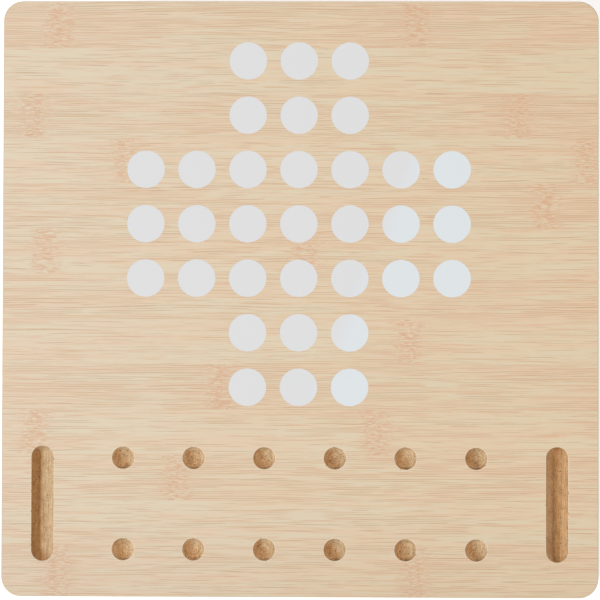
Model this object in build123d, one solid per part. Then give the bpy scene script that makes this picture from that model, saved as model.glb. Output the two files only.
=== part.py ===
from build123d import *
from math import asin, cos, degrees, sin, sqrt
import os

# A square wooden game compendium box on four rubber feet.
# The fixed top panel is a game board: a solitaire cross of 33 printed spots, and a small
# mancala board of 12 round pits between two long store grooves, cut with a ball-nosed bit.
# Two piece drawers slide out to the left and the right, and a shallow tray of three game
# boards slides out of the front, under the top panel.
# Millimetres. The origin is on the table under the middle of the box, +Z is up, -Y is the
# front, where the mancala board is, and +X is to the right.

# Panels and walls
CORNER_R = 10.0
EDGE_BAND_T = 0.5
EDGE_EASE = 0.3
WALL_T = 10.0
FOOT_H = 2.0
BASE_CORE_T = 5.2
LAMINATE_T = 0.4
SHELF_T = 3.0
TOP_CORE_T = 8.2

# Rubber feet
FOOT_R = 7.0
FOOT_INSET = 22.0
FOOT_EDGE_R = 0.6

# Solitaire spots: a cross seven wide, three spots to an arm
SPOT_R = 9.45
SPOT_PITCH_X = 25.7
SPOT_PITCH_Y = 27.4
SPOTS_CENTRE_X = -0.7
SPOTS_FROM_BACK = 112.4
SPOT_INK_T = 0.15
CROSS_HALF = 3
ARM_HALF = 1

# Mancala pits and store grooves, cut by one ball-nosed bit
BIT_R = 6.0
CUT_DEPTH = 4.0
PIT_COLUMNS = 6
PIT_PITCH_X = 35.5
PIT_ROW_GAP = 45.9
PITS_FROM_FRONT = 46.8
GROOVE_FROM_SIDE = 20.7
GROOVE_LENGTH = 58.0

# Shelf, centre divider and header rails
SHELF_HOUSING = 4.0
HEADER_DROP = 2.5
CENTRE_DIVIDER_T = 6.0
DIVIDER_HOUSING = 3.0

# Wooden dowels between the walls, rails and top panel
DOWEL_R = 2.5
DOWEL_CHAMFER = 0.6
RAIL_DOWEL_IN_WALL = 6.0
RAIL_DOWEL_IN_RAIL = 14.0
RAIL_DOWEL_IN_FROM_FACE = 4.0
RAIL_DOWEL_ABOVE_SHELF = 3.0
TOP_DOWEL_IN_WALL = 7.0
TOP_DOWEL_IN_TOP = 5.0
TOP_DOWEL_FROM_SIDE = 50.0
TOP_DOWEL_FROM_END = 80.0

# Countersunk screws that hold the base
SCREW_R = 1.5
SCREW_LENGTH = 16.0
SCREW_HEAD_R = 3.0
SCREW_HEAD_H = 1.7
SCREW_POINT = 3.0
SCREW_RECESS_WIDTH = 0.9
SCREW_RECESS_SPAN = 3.4
SCREW_RECESS_DEPTH = 1.1
SCREW_PLAY = 0.05
SCREW_FROM_SIDE = 40.0
SCREW_FROM_MIDDLE = 40.0
SCREW_FROM_END = 80.0

# Piece drawers, one to each side
DRAWER_SIDE_GAP = 0.6
DRAWER_LIFT = 0.3
DRAWER_HEAD_GAP = 0.4
DRAWER_REAR_GAP = 1.0
DRAWER_STOP_GAP = 0.5
DRAWER_FRONT_T = 10.0
DRAWER_WALL_T = 6.0
DRAWER_BOTTOM_T = 3.0
DRAWER_BOTTOM_RAISE = 2.2
DRAWER_GROOVE = 3.0
DRAWER_NOTCH_R = 11.0
PARTITION_T = 3.0
PARTITION_H = 17.0
PIECE_HEADROOM = 2.7
BAY_PLAY = 7.8
TROUGH_PLAY = 3.0
CHESS_PLAY = 1.8
COUNTER_PLAY = 18.0
TILE_PLAY = 1.4
STICK_PLAY = 10.0

# Board tray
TRAY_JAMB = 14.0
TRAY_REAR_GAP = 13.5
TRAY_GAP = 0.5
TRAY_LIFT = 0.3
TRAY_FRONT_T = 9.5
TRAY_BASE_T = 2.5
TRAY_RIM_T = 4.0
TRAY_RIM_ABOVE_BOARDS = 1.4
TRAY_RIM_TOP_GAP = 0.8
TRAY_NOTCH_R = 8.0
TRAY_NOTCH_FLAT = 16.0
CLEAT_LENGTH = 20.0
CLEAT_FROM_BACK = 12.0
BOARD_T = 3.0
BOARD_COUNT = 3
BOARD_PLAY = 0.5
BOARD_NOTCH_R = 14.0
BOARD_CORNER_R = 3.0

# Loose game pieces
SEAT_GAP = 0.1
COUNTER_R = 10.0
COUNTER_T = 5.0
COUNTER_EDGE_R = 0.7
COUNTER_DISH_R = 7.2
COUNTER_DISH_DEPTH = 0.5
COUNTER_STACK = 2
COUNTER_ROWS = 2
COUNTER_COLUMNS = 4
COUNTER_GAP = 3.0
BEAD_R = 3.0
BEAD_GAP = 0.4
BEAD_COLUMNS = 8
BEAD_ROWS = 6
DIE_SIZE = 11.0
DIE_EDGE_R = 1.2
DIE_PIP_R = 1.0
DIE_GAP = 1.4
STICK_R = 1.5
STICK_LENGTH = 190.0
STICK_POINT = 5.0
STICK_GAP = 0.1
STICK_ROWS = (7, 6, 7, 6, 5)
TILE_LENGTH = 31.0
TILE_WIDTH = 15.5
TILE_T = 5.5
TILE_EDGE_R = 0.5
TILE_GAP = 0.2
TILE_LINE_WIDTH = 0.7
TILE_CUT_DEPTH = 0.35
TILE_PIP_R = 1.1
TILE_PIP_PITCH = 4.0
TILE_DEAL_COUNT = 5
TILE_ROWS = 2
TILE_COLUMNS = 6
TILE_HIGHEST_NUMBER = 6
PAWN_HEIGHT = 22.0
PAWN_BASE_R = 6.0
PAWN_HEAD_R = 3.9
PAWN_NECK_R = 2.0
PAWN_FOOT_STEP = 0.8
PAWN_COUNT = 4
PAWN_COLOURS = ("red", "yellow", "green", "blue")

# Chess pieces, standing: what they share, and then each one's height and head
CHESS_BASE_R = 7.7
CHESS_BASE_H = 3.0
CHESS_RING_R = 6.2
CHESS_RING_H = 2.0
CHESS_BODY_R = 5.2
CHESS_NECK_R = 2.8
CHESS_COLLAR_R = 5.4
CHESS_COLLAR_H = 1.6
CHESS_GAP = 1.0
CHESS_ROW_GAP = 3.0
CHESS_LEAN = 1.5
CHESS_PAWN_H = 29.5
CHESS_PAWN_HEAD_R = 4.9
CHESS_PAWN_NECK_R = 2.6
ROOK_H = 34.0
ROOK_NECK_R = 3.8
ROOK_HEAD_R = 6.0
ROOK_HEAD_H = 9.0
ROOK_WELL_R = 3.6
ROOK_WELL_DEPTH = 3.5
ROOK_GAP = 2.0
KNIGHT_H = 37.0
KNIGHT_T = 6.4
KNIGHT_BASE_H = 11.0
KNIGHT_NECK_R = 5.0
KNIGHT_BACK_X = -4.6
KNIGHT_MANE = (-6.6, 24.0)
KNIGHT_THROAT = ((5.0, KNIGHT_BASE_H), (2.2, 19.0), (6.8, 20.5))
KNIGHT_MUZZLE = (9.5, 24.5)
KNIGHT_BROW = ((7.6, 28.0), (2.0, 33.0), (0.6, KNIGHT_H))
KNIGHT_POLL = (-1.6, 33.6)
KNIGHT_EYE = (2.2, 29.2)
KNIGHT_EYE_R = 0.7
BISHOP_H = 41.2
BISHOP_HEAD_R = 4.7
BISHOP_BALL_R = 1.6
BISHOP_MITRE_H = 8.0
BISHOP_HEAD_Z = BISHOP_H - BISHOP_BALL_R - BISHOP_MITRE_H
BISHOP_MITRE_R = 4.1
BISHOP_MITRE_TIP_R = 1.0
BISHOP_MITRE_IN_HEAD = 1.8
BISHOP_SLIT = 1.0
BISHOP_SLIT_X = 2.6
BISHOP_SLIT_UP = 3.6
BISHOP_SLIT_TURN = 35
QUEEN_H = 43.6
QUEEN_CROWN_R = 5.8
QUEEN_BALL_R = 2.4
QUEEN_BITE_R = 1.3
QUEEN_BITES = 8
KING_H = 51.4
KING_CROWN_R = 5.6
KING_CROSS_H = 6.4
KING_CROSS_SPAN = 4.8
KING_CROSS_T = 1.8
KING_DOME_R = 4.6
KING_DOME_TOP_R = 2.0
CROWN_H = 8.0
CROWN_NECK_R = 3.0

# Room that the pieces take up in a drawer: along each bay, across it, and upwards
CHESS_PITCH = 2 * CHESS_BASE_R + CHESS_GAP
COUNTER_PITCH = 2 * COUNTER_R + COUNTER_GAP
DIE_PITCH = DIE_SIZE + DIE_GAP
STICK_PITCH = 2 * STICK_R + STICK_GAP
CHESS_BAY = 8 * CHESS_PITCH + CHESS_PLAY
COUNTER_BAY = COUNTER_ROWS * COUNTER_PITCH + COUNTER_PLAY
TILE_BAY = TILE_ROWS * (TILE_LENGTH + TILE_GAP) + TILE_PLAY
STICK_BAY = STICK_LENGTH + STICK_PLAY
CHESS_ROWS = CHESS_PAWN_H + KING_H + 3 * CHESS_ROW_GAP + CHESS_LEAN
TILE_ROW = TILE_COLUMNS * (TILE_WIDTH + TILE_GAP)
COUNTER_ROW = COUNTER_COLUMNS * COUNTER_PITCH
BAY_WIDTH = max(CHESS_ROWS, TILE_ROW, COUNTER_ROW) + BAY_PLAY
TROUGH_WIDTH = max(PAWN_HEIGHT, STICK_ROWS[0] * STICK_PITCH, DIE_SIZE) + TROUGH_PLAY
TILE_SEATS = TILE_ROWS * TILE_COLUMNS
TILE_COUNT = (TILE_HIGHEST_NUMBER + 1) * (TILE_HIGHEST_NUMBER + 2) // 2
TILE_LAYERS = -(-TILE_COUNT // TILE_SEATS)
PIECE_ROOM_H = PIECE_HEADROOM + max(
    2 * CHESS_BASE_R + CHESS_LEAN,
    TILE_LAYERS * TILE_T,
    COUNTER_STACK * COUNTER_T,
    len(STICK_ROWS) * STICK_PITCH,
    PARTITION_H - PIECE_HEADROOM,
)

# The box is as wide and as deep as its drawers need
BOX_WIDTH = 2 * (
    CENTRE_DIVIDER_T / 2
    + DRAWER_REAR_GAP
    + DRAWER_WALL_T
    + BAY_WIDTH
    + PARTITION_T
    + TROUGH_WIDTH
    + DRAWER_FRONT_T
)
BOX_DEPTH = (
    2 * (WALL_T + DRAWER_SIDE_GAP + DRAWER_WALL_T + PARTITION_T)
    + CHESS_BAY
    + COUNTER_BAY
    + TILE_BAY
)

# Heights that follow from the layers
DRAWER_BAY_H = (
    DRAWER_LIFT
    + DRAWER_BOTTOM_RAISE
    + DRAWER_BOTTOM_T
    + PIECE_ROOM_H
    + DRAWER_HEAD_GAP
    + HEADER_DROP
)
TRAY_BAY_H = (
    TRAY_LIFT
    + TRAY_BASE_T
    + BOARD_COUNT * BOARD_T
    + TRAY_RIM_ABOVE_BOARDS
    + TRAY_RIM_TOP_GAP
)
Z_BASE = FOOT_H
Z_FLOOR = Z_BASE + BASE_CORE_T + 2 * LAMINATE_T
Z_SHELF = Z_FLOOR + DRAWER_BAY_H
Z_TRAY = Z_SHELF + SHELF_T
Z_LID = Z_TRAY + TRAY_BAY_H
Z_FACE = Z_LID + TOP_CORE_T + 2 * LAMINATE_T

# Inner faces of the walls
IN_X = BOX_WIDTH / 2 - WALL_T
IN_Y = BOX_DEPTH / 2 - WALL_T

# The right drawer's faces; the left drawer is the same drawer turned half round
DRAWER_HALF = IN_Y - DRAWER_SIDE_GAP
DRAWER_Z0 = Z_FLOOR + DRAWER_LIFT
DRAWER_Z1 = Z_SHELF - HEADER_DROP - DRAWER_HEAD_GAP
DRAWER_BACK_Z1 = Z_SHELF - DRAWER_HEAD_GAP
DRAWER_BACK_X = CENTRE_DIVIDER_T / 2 + DRAWER_REAR_GAP
DRAWER_IN_X0 = DRAWER_BACK_X + DRAWER_WALL_T
DRAWER_IN_X1 = BOX_WIDTH / 2 - DRAWER_FRONT_T
DRAWER_IN_Y = DRAWER_HALF - DRAWER_WALL_T
DRAWER_IN_Z = DRAWER_Z0 + DRAWER_BOTTOM_RAISE + DRAWER_BOTTOM_T
TROUGH_X0 = DRAWER_IN_X1 - TROUGH_WIDTH
MAIN_X1 = TROUGH_X0 - PARTITION_T
CHESS_Y1 = -DRAWER_IN_Y + CHESS_BAY
COUNTER_Y0 = CHESS_Y1 + PARTITION_T
COUNTER_Y1 = COUNTER_Y0 + COUNTER_BAY
LAST_Y0 = COUNTER_Y1 + PARTITION_T
STICK_Y1 = -DRAWER_IN_Y + STICK_BAY
DICE_Y0 = STICK_Y1 + PARTITION_T
SEAT_Z = DRAWER_IN_Z + SEAT_GAP
DRAWER_TRAVEL = IN_X - DRAWER_IN_X0 - DRAWER_STOP_GAP

# The board tray's faces
TRAY_MOUTH_HALF = BOX_WIDTH / 2 - TRAY_JAMB
TRAY_HALF = TRAY_MOUTH_HALF - TRAY_GAP
TRAY_FRONT_Y1 = -BOX_DEPTH / 2 + TRAY_FRONT_T
TRAY_Z0 = Z_TRAY + TRAY_LIFT
TRAY_IN_Z = TRAY_Z0 + TRAY_BASE_T
TRAY_RIM_Z1 = Z_LID - TRAY_RIM_TOP_GAP
TRAY_BACK_Y = IN_Y - TRAY_REAR_GAP
TRAY_RIM_Y = TRAY_BACK_Y - TRAY_RIM_T
BOARD_WIDTH = 2 * (TRAY_HALF - TRAY_RIM_T - BOARD_PLAY)
BOARD_DEPTH = TRAY_RIM_Y - TRAY_FRONT_Y1 - 2 * BOARD_PLAY
CLEAT_Y1 = TRAY_BACK_Y - CLEAT_FROM_BACK
CLEAT_Y0 = CLEAT_Y1 - CLEAT_LENGTH
TRAY_TRAVEL = CLEAT_Y0 + IN_Y - TRAY_GAP

CENTRED = (Align.CENTER, Align.CENTER, Align.MIN)
HALF_TURN = Rotation(0, 0, 180)


def block(x0, x1, y0, y1, z0, z1):
    """A box between two corners."""
    middle = Pos((x0 + x1) / 2, (y0 + y1) / 2, (z0 + z1) / 2)
    return middle * Box(x1 - x0, y1 - y0, z1 - z0)


def rounded_slab(inset, z0, z1):
    """The box's outline, drawn in by inset all round, between two heights."""
    outline = RectangleRounded(
        BOX_WIDTH - 2 * inset, BOX_DEPTH - 2 * inset, CORNER_R - inset
    )
    return Pos(0, 0, z0) * extrude(outline, z1 - z0)


def upright(radius, x, y, z0, z1):
    """A round bar along Z."""
    return Pos(x, y, z0) * Cylinder(radius, z1 - z0, align=CENTRED)


def as_node(solids):
    """One compound of separate solids."""
    return Compound([s for piece in solids for s in piece.solids()])


def grid(count, pitch):
    """Evenly spaced places about zero."""
    return [(i - (count - 1) / 2) * pitch for i in range(count)]


def eased(panel, axis, side):
    """The panel with the arrises of its outermost face along the axis chamfered."""
    return chamfer(panel.faces().sort_by(axis)[side].edges(), EDGE_EASE)


def edge_band(z0, z1):
    """The strip of foil round a panel's edge, its outer arrises eased."""
    outer = rounded_slab(0, z0, z1)
    outer = chamfer(outer.faces().filter_by(Axis.Z).edges(), EDGE_EASE)
    return outer - rounded_slab(EDGE_BAND_T, z0, z1)


# The screws and their holes


def screw_places():
    wall_y = IN_Y + WALL_T / 2
    rows = [
        (sx * x, sy * wall_y)
        for x in (SCREW_FROM_MIDDLE, BOX_WIDTH / 2 - SCREW_FROM_SIDE)
        for sx in (-1, 1)
        for sy in (-1, 1)
    ]
    return rows + [(0, sy * (BOX_DEPTH / 2 - SCREW_FROM_END)) for sy in (-1, 1)]


def screw():
    """A countersunk wood screw, head down at the origin, with a cross recess."""
    head = Cone(SCREW_HEAD_R, SCREW_R, SCREW_HEAD_H, align=CENTRED)
    shank = upright(SCREW_R, 0, 0, SCREW_HEAD_H, SCREW_LENGTH - SCREW_POINT)
    tip_r = SCREW_R / 5
    tip = Pos(0, 0, SCREW_LENGTH - SCREW_POINT) * Cone(
        SCREW_R, tip_r, SCREW_POINT, align=CENTRED
    )
    half_span = SCREW_RECESS_SPAN / 2
    half_width = SCREW_RECESS_WIDTH / 2
    slot = block(-half_span, half_span, -half_width, half_width, 0, SCREW_RECESS_DEPTH)
    return head + shank + tip - slot - Rotation(0, 0, 90) * slot


def screw_hole():
    """What a screw clears: its countersink and its shank, from the base's underside up."""
    play = SCREW_PLAY
    sink = Cone(SCREW_HEAD_R + play, SCREW_R + play, SCREW_HEAD_H, align=CENTRED)
    return sink + upright(SCREW_R + play, 0, 0, 0, SCREW_LENGTH + play)


def screw_holes():
    hole = screw_hole()
    return [Pos(x, y, Z_BASE) * hole for x, y in screw_places()]


# The dowels and their holes


def dowel(length):
    bar = Cylinder(DOWEL_R, length, align=CENTRED)
    return chamfer(bar.edges().filter_by(GeomType.CIRCLE), DOWEL_CHAMFER)


def rail_dowels():
    """Level dowels from the front and back walls into the ends of the header rails."""
    length = RAIL_DOWEL_IN_WALL + RAIL_DOWEL_IN_RAIL
    z = Z_TRAY + RAIL_DOWEL_ABOVE_SHELF
    x = IN_X + RAIL_DOWEL_IN_FROM_FACE
    front = Pos(0, -IN_Y - RAIL_DOWEL_IN_WALL, z) * Rotation(-90, 0, 0) * dowel(length)
    pair = [Pos(sx * x, 0, 0) * front for sx in (-1, 1)]
    return pair + [HALF_TURN * one for one in pair]


def top_dowels():
    """Upright dowels from the walls and rails into the top panel."""
    jamb_x = (TRAY_MOUTH_HALF + BOX_WIDTH / 2) / 2
    wall_y = IN_Y + WALL_T / 2
    rail_x = IN_X + WALL_T / 2
    back_x = BOX_WIDTH / 2 - TOP_DOWEL_FROM_SIDE
    rail_y = BOX_DEPTH / 2 - TOP_DOWEL_FROM_END
    places = [(sx * jamb_x, -wall_y) for sx in (-1, 1)]
    places += [(sx * back_x, wall_y) for sx in (-1, 0, 1)]
    places += [(sx * rail_x, sy * rail_y) for sx in (-1, 1) for sy in (-1, 1)]
    peg = dowel(TOP_DOWEL_IN_WALL + TOP_DOWEL_IN_TOP)
    return [Pos(x, y, Z_LID - TOP_DOWEL_IN_WALL) * peg for x, y in places]


# The top panel


def spots():
    """The solitaire cross: every place of a square grid that lies in either arm."""
    reach = range(-CROSS_HALF, CROSS_HALF + 1)
    cross = [(i, j) for i in reach for j in reach if min(abs(i), abs(j)) <= ARM_HALF]
    middle_y = BOX_DEPTH / 2 - SPOTS_FROM_BACK
    return [
        upright(
            SPOT_R,
            SPOTS_CENTRE_X + i * SPOT_PITCH_X,
            middle_y + j * SPOT_PITCH_Y,
            Z_FACE - SPOT_INK_T,
            Z_FACE,
        )
        for i, j in cross
    ]


def mancala_cuts():
    """What the ball-nosed bit takes out: round pits, and grooves with round ends."""
    bit_z = Z_FACE - CUT_DEPTH + BIT_R
    middle_y = PITS_FROM_FRONT - BOX_DEPTH / 2
    groove_x = BOX_WIDTH / 2 - GROOVE_FROM_SIDE
    ball = Sphere(BIT_R)
    pits = [
        Pos(x, middle_y + y, bit_z) * ball
        for x in grid(PIT_COLUMNS, PIT_PITCH_X)
        for y in grid(2, PIT_ROW_GAP)
    ]
    rim_r = sqrt(BIT_R**2 - (BIT_R - CUT_DEPTH) ** 2)
    run = GROOVE_LENGTH - 2 * rim_r
    groove = Rotation(90, 0, 0) * Cylinder(BIT_R, run)
    groove += [Pos(0, y, 0) * ball for y in (-run / 2, run / 2)]
    return pits + [Pos(sx * groove_x, middle_y, bit_z) * groove for sx in (-1, 1)]


def top_panel():
    core_z0 = Z_LID + LAMINATE_T
    core_z1 = core_z0 + TOP_CORE_T
    cuts = mancala_cuts()
    pegs = top_dowels()
    ink = spots()
    return {
        "top_core": rounded_slab(EDGE_BAND_T, core_z0, core_z1) - cuts - pegs,
        "top_inner_laminate": rounded_slab(EDGE_BAND_T, Z_LID, core_z0) - pegs,
        "top_face_laminate": rounded_slab(EDGE_BAND_T, core_z1, Z_FACE) - cuts - ink,
        "top_edge_band": edge_band(Z_LID, Z_FACE),
        "solitaire_spots": as_node(ink),
    }


# The base


def foot():
    disc = Cylinder(FOOT_R, FOOT_H, align=CENTRED)
    return fillet(disc.edges().group_by(Axis.Z)[0], FOOT_EDGE_R)


def base():
    lower_z1 = Z_BASE + LAMINATE_T
    core_z1 = lower_z1 + BASE_CORE_T
    holes = screw_holes()
    foot_x = BOX_WIDTH / 2 - FOOT_INSET
    foot_y = BOX_DEPTH / 2 - FOOT_INSET
    feet = [
        Pos(sx * foot_x, sy * foot_y, 0) * foot() for sx in (-1, 1) for sy in (-1, 1)
    ]
    return {
        "rubber_feet": as_node(feet),
        "base_lower_laminate": rounded_slab(EDGE_BAND_T, Z_BASE, lower_z1) - holes,
        "base_core": rounded_slab(EDGE_BAND_T, lower_z1, core_z1) - holes,
        "base_upper_laminate": rounded_slab(EDGE_BAND_T, core_z1, Z_FLOOR) - holes,
        "base_edge_band": edge_band(Z_BASE, Z_FLOOR),
        "base_screws": as_node([Pos(x, y, Z_BASE) * screw() for x, y in screw_places()]),
    }


# The walls, header rails, shelf and centre divider


def shelf_plate():
    reach = IN_X + SHELF_HOUSING
    return block(-reach, reach, -IN_Y, IN_Y + SHELF_HOUSING, Z_SHELF, Z_TRAY)


def centre_plate():
    half = CENTRE_DIVIDER_T / 2
    reach = IN_Y + DIVIDER_HOUSING
    return block(-half, half, -reach, reach, Z_FLOOR, Z_SHELF)


def frame():
    ring = rounded_slab(0, Z_FLOOR, Z_LID)
    half_x = BOX_WIDTH / 2
    half_y = BOX_DEPTH / 2
    shelf = shelf_plate()
    divider = centre_plate()
    pegs = rail_dowels() + top_dowels()
    holes = screw_holes()
    header_z = Z_SHELF - HEADER_DROP
    front = ring & block(-half_x, half_x, -half_y, -IN_Y, Z_FLOOR, Z_LID)
    mouth = block(-TRAY_MOUTH_HALF, TRAY_MOUTH_HALF, -half_y, -IN_Y, Z_SHELF, Z_LID)
    back = ring & block(-half_x, half_x, IN_Y, half_y, Z_FLOOR, Z_LID)
    right = ring & block(IN_X, half_x, -IN_Y, IN_Y, header_z, Z_LID)
    left = ring & block(-half_x, -IN_X, -IN_Y, IN_Y, header_z, Z_LID)
    return {
        "front_wall": front - mouth - divider - pegs - holes,
        "back_wall": back - shelf - divider - pegs - holes,
        "right_header_rail": right - shelf - pegs,
        "left_header_rail": left - shelf - pegs,
        "shelf": shelf,
        "centre_divider": divider - holes,
        "dowels": as_node(pegs),
    }


# A piece drawer, in the right-hand place


def drawer_shell():
    half_x = BOX_WIDTH / 2
    z_floor = DRAWER_IN_Z - DRAWER_BOTTOM_T
    bottom = block(
        DRAWER_IN_X0 - DRAWER_GROOVE,
        DRAWER_IN_X1 + DRAWER_GROOVE,
        -DRAWER_IN_Y - DRAWER_GROOVE,
        DRAWER_IN_Y + DRAWER_GROOVE,
        z_floor,
        DRAWER_IN_Z,
    )
    front = block(
        DRAWER_IN_X1, half_x, -DRAWER_HALF, DRAWER_HALF, DRAWER_Z0, DRAWER_Z1
    )
    front = eased(front, Axis.X, -1)
    notch = Pos((DRAWER_IN_X1 + half_x) / 2, 0, DRAWER_Z1) * Rotation(0, 90, 0)
    notch *= Cylinder(DRAWER_NOTCH_R, 2 * DRAWER_FRONT_T)
    back = block(
        DRAWER_BACK_X,
        DRAWER_IN_X0,
        -DRAWER_HALF,
        DRAWER_HALF,
        DRAWER_Z0,
        DRAWER_BACK_Z1,
    )
    side = block(
        DRAWER_IN_X0, DRAWER_IN_X1, DRAWER_IN_Y, DRAWER_HALF, DRAWER_Z0, DRAWER_Z1
    )
    other_side = block(
        DRAWER_IN_X0, DRAWER_IN_X1, -DRAWER_HALF, -DRAWER_IN_Y, DRAWER_Z0, DRAWER_Z1
    )
    return {
        "drawer_front": front - notch - bottom,
        "drawer_back": back - bottom,
        "drawer_side_a": side - bottom,
        "drawer_side_b": other_side - bottom,
        "drawer_bottom": bottom,
    }


def long_partition():
    z1 = DRAWER_IN_Z + PARTITION_H
    return block(MAIN_X1, TROUGH_X0, -DRAWER_IN_Y, DRAWER_IN_Y, DRAWER_IN_Z, z1)


def cross_partitions():
    """The two partitions that part the chess, counter and last bays."""
    z1 = DRAWER_IN_Z + PARTITION_H
    return [
        block(DRAWER_IN_X0, MAIN_X1, y, y + PARTITION_T, DRAWER_IN_Z, z1)
        for y in (CHESS_Y1, COUNTER_Y1)
    ]


def trough_partition():
    z1 = DRAWER_IN_Z + PARTITION_H
    return block(TROUGH_X0, DRAWER_IN_X1, STICK_Y1, DICE_Y0, DRAWER_IN_Z, z1)


# Loose pieces that fill the bays


def seated(piece, x, y):
    """The piece set down on the drawer's bottom, its bounding box centred on x, y."""
    box = piece.bounding_box()
    centre = box.center()
    return Pos(x - centre.X, y - centre.Y, SEAT_Z - box.min.Z) * piece


def lying(piece, base_r, head_r, head_z):
    """A turned piece laid down along +X, resting on its base's rim and its head."""
    tilt = degrees(asin((base_r - head_r) / head_z))
    return Rotation(0, 90 + tilt, 0) * piece


def counter():
    disc = Cylinder(COUNTER_R, COUNTER_T, align=CENTRED)
    disc = fillet(disc.edges().filter_by(GeomType.CIRCLE), COUNTER_EDGE_R)
    dish = Cylinder(COUNTER_DISH_R, COUNTER_DISH_DEPTH, align=CENTRED)
    return disc - dish - Pos(0, 0, COUNTER_T - COUNTER_DISH_DEPTH) * dish


def counters():
    """Two-high stacks of counters in the middle of the counter bay."""
    x_mid = (DRAWER_IN_X0 + MAIN_X1) / 2
    y_mid = (COUNTER_Y0 + COUNTER_Y1) / 2
    disc = counter()
    return [
        Pos(x_mid + x, y_mid + y, DRAWER_IN_Z + layer * COUNTER_T) * disc
        for x in grid(COUNTER_COLUMNS, COUNTER_PITCH)
        for y in grid(COUNTER_ROWS, COUNTER_PITCH)
        for layer in range(COUNTER_STACK)
    ]


def beads():
    """Mancala beads, scattered over the last bay by a formula that keeps them apart."""
    room_x = (MAIN_X1 - DRAWER_IN_X0) / BEAD_COLUMNS
    room_y = (DRAWER_IN_Y - LAST_Y0) / BEAD_ROWS
    stray = (min(room_x, room_y) - 2 * BEAD_R - BEAD_GAP) / 2
    x_mid = (DRAWER_IN_X0 + MAIN_X1) / 2
    y_mid = (LAST_Y0 + DRAWER_IN_Y) / 2
    scattered = []
    for i, x in enumerate(grid(BEAD_COLUMNS, room_x)):
        for j, y in enumerate(grid(BEAD_ROWS, room_y)):
            turn = 2.4 * i + 5.1 * j + 0.7 * i * j
            dx = stray * sin(turn)
            dy = stray * cos(1.7 * turn)
            place = Pos(x_mid + x + dx, y_mid + y + dy, SEAT_Z + BEAD_R)
            scattered.append(place * Sphere(BEAD_R))
    return scattered


def pip_places(number, pitch):
    """Where the pips of a face lie, from one to six, about its middle."""
    corners = [(-1, -1), (1, 1), (-1, 1), (1, -1)]
    places = [(0, 0)] if number % 2 else []
    places += corners[: 2 * (number // 2)]
    if number == 6:
        places += [(-1, 0), (1, 0)]
    return [(x * pitch, y * pitch) for x, y in places[:number]]


def die():
    cube = fillet(Box(DIE_SIZE, DIE_SIZE, DIE_SIZE).edges(), DIE_EDGE_R)
    half = DIE_SIZE / 2
    turns = (
        Rotation(0, 0, 0),
        Rotation(90, 0, 0),
        Rotation(0, 90, 0),
        Rotation(0, -90, 0),
        Rotation(-90, 0, 0),
        Rotation(180, 0, 0),
    )
    dimple_z = half + DIE_PIP_R / 2
    pips = [
        turn * Pos(x, y, dimple_z) * Sphere(DIE_PIP_R)
        for number, turn in enumerate(turns, start=1)
        for x, y in pip_places(number, DIE_SIZE / 4)
    ]
    return cube - pips


def dice():
    """As many dice as the bay takes, in a loose zigzag, each on another face."""
    x_mid = (TROUGH_X0 + DRAWER_IN_X1) / 2
    y_mid = (DICE_Y0 + DRAWER_IN_Y) / 2
    count = int((DRAWER_IN_Y - DICE_Y0) // DIE_PITCH)
    cube = die()
    zigzag = (TROUGH_WIDTH - DIE_SIZE) / 2 - 2 * DIE_EDGE_R
    thrown = []
    for i, y in enumerate(grid(count, DIE_PITCH)):
        side = 1 if i % 2 else -1
        turned = Rotation(90 * i, 90 * (i % 3), 0) * cube
        turned = Rotation(0, 0, 5 * (i % 5 - 2)) * turned
        thrown.append(seated(turned, x_mid + side * zigzag, y_mid + y))
    return thrown


def stick():
    """A pick-up stick along +Y, pointed at both ends."""
    barrel = STICK_LENGTH / 2 - STICK_POINT
    tip_r = STICK_R / 5
    bar = Cylinder(STICK_R, 2 * barrel)
    point = Pos(0, 0, barrel) * Cone(STICK_R, tip_r, STICK_POINT, align=CENTRED)
    whole = bar + point + Rotation(180, 0, 0) * point
    return Rotation(-90, 0, 0) * whole


def sticks():
    """The bundle, nested layer on layer in the trough."""
    rise = STICK_PITCH * sqrt(3) / 2
    x_mid = (TROUGH_X0 + DRAWER_IN_X1) / 2
    y_mid = (STICK_Y1 - DRAWER_IN_Y) / 2
    one = stick()
    return [
        Pos(x_mid + x, y_mid, SEAT_Z + STICK_R + layer * rise) * one
        for layer, count in enumerate(STICK_ROWS)
        for x in grid(count, STICK_PITCH)
    ]


def tile(left, right):
    """A domino lying flat, its length along +Y, pips and middle line up."""
    slab = Box(TILE_WIDTH, TILE_LENGTH, TILE_T, align=CENTRED)
    slab = fillet(slab.edges(), TILE_EDGE_R)
    half_line = TILE_LINE_WIDTH / 2
    line_x = TILE_WIDTH / 2 - 2 * TILE_EDGE_R
    cut_z = TILE_T - TILE_CUT_DEPTH
    cuts = [block(-line_x, line_x, -half_line, half_line, cut_z, TILE_T)]
    for number, y_mid in ((left, -TILE_LENGTH / 4), (right, TILE_LENGTH / 4)):
        cuts += [
            upright(TILE_PIP_R, x, y_mid + y, cut_z, TILE_T)
            for x, y in pip_places(number, TILE_PIP_PITCH)
        ]
    return slab - cuts


def dominoes():
    """The full double-six set in flat layers in the last bay."""
    x_mid = (DRAWER_IN_X0 + MAIN_X1) / 2
    y_mid = (LAST_Y0 + DRAWER_IN_Y) / 2
    most = TILE_HIGHEST_NUMBER + 1
    numbers = [(a, b) for a in range(most) for b in range(a, most)]
    seats = [
        (x_mid + x, y_mid + y)
        for x in grid(TILE_COLUMNS, TILE_WIDTH + TILE_GAP)
        for y in grid(TILE_ROWS, TILE_LENGTH + TILE_GAP)
    ]
    laid = []
    for n in range(len(numbers)):
        shuffled = numbers[(n * TILE_DEAL_COUNT) % len(numbers)]
        layer, seat = divmod(n, len(seats))
        x, y = seats[seat]
        laid.append(Pos(x, y, DRAWER_IN_Z + layer * TILE_T) * tile(*shuffled))
    return laid


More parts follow.
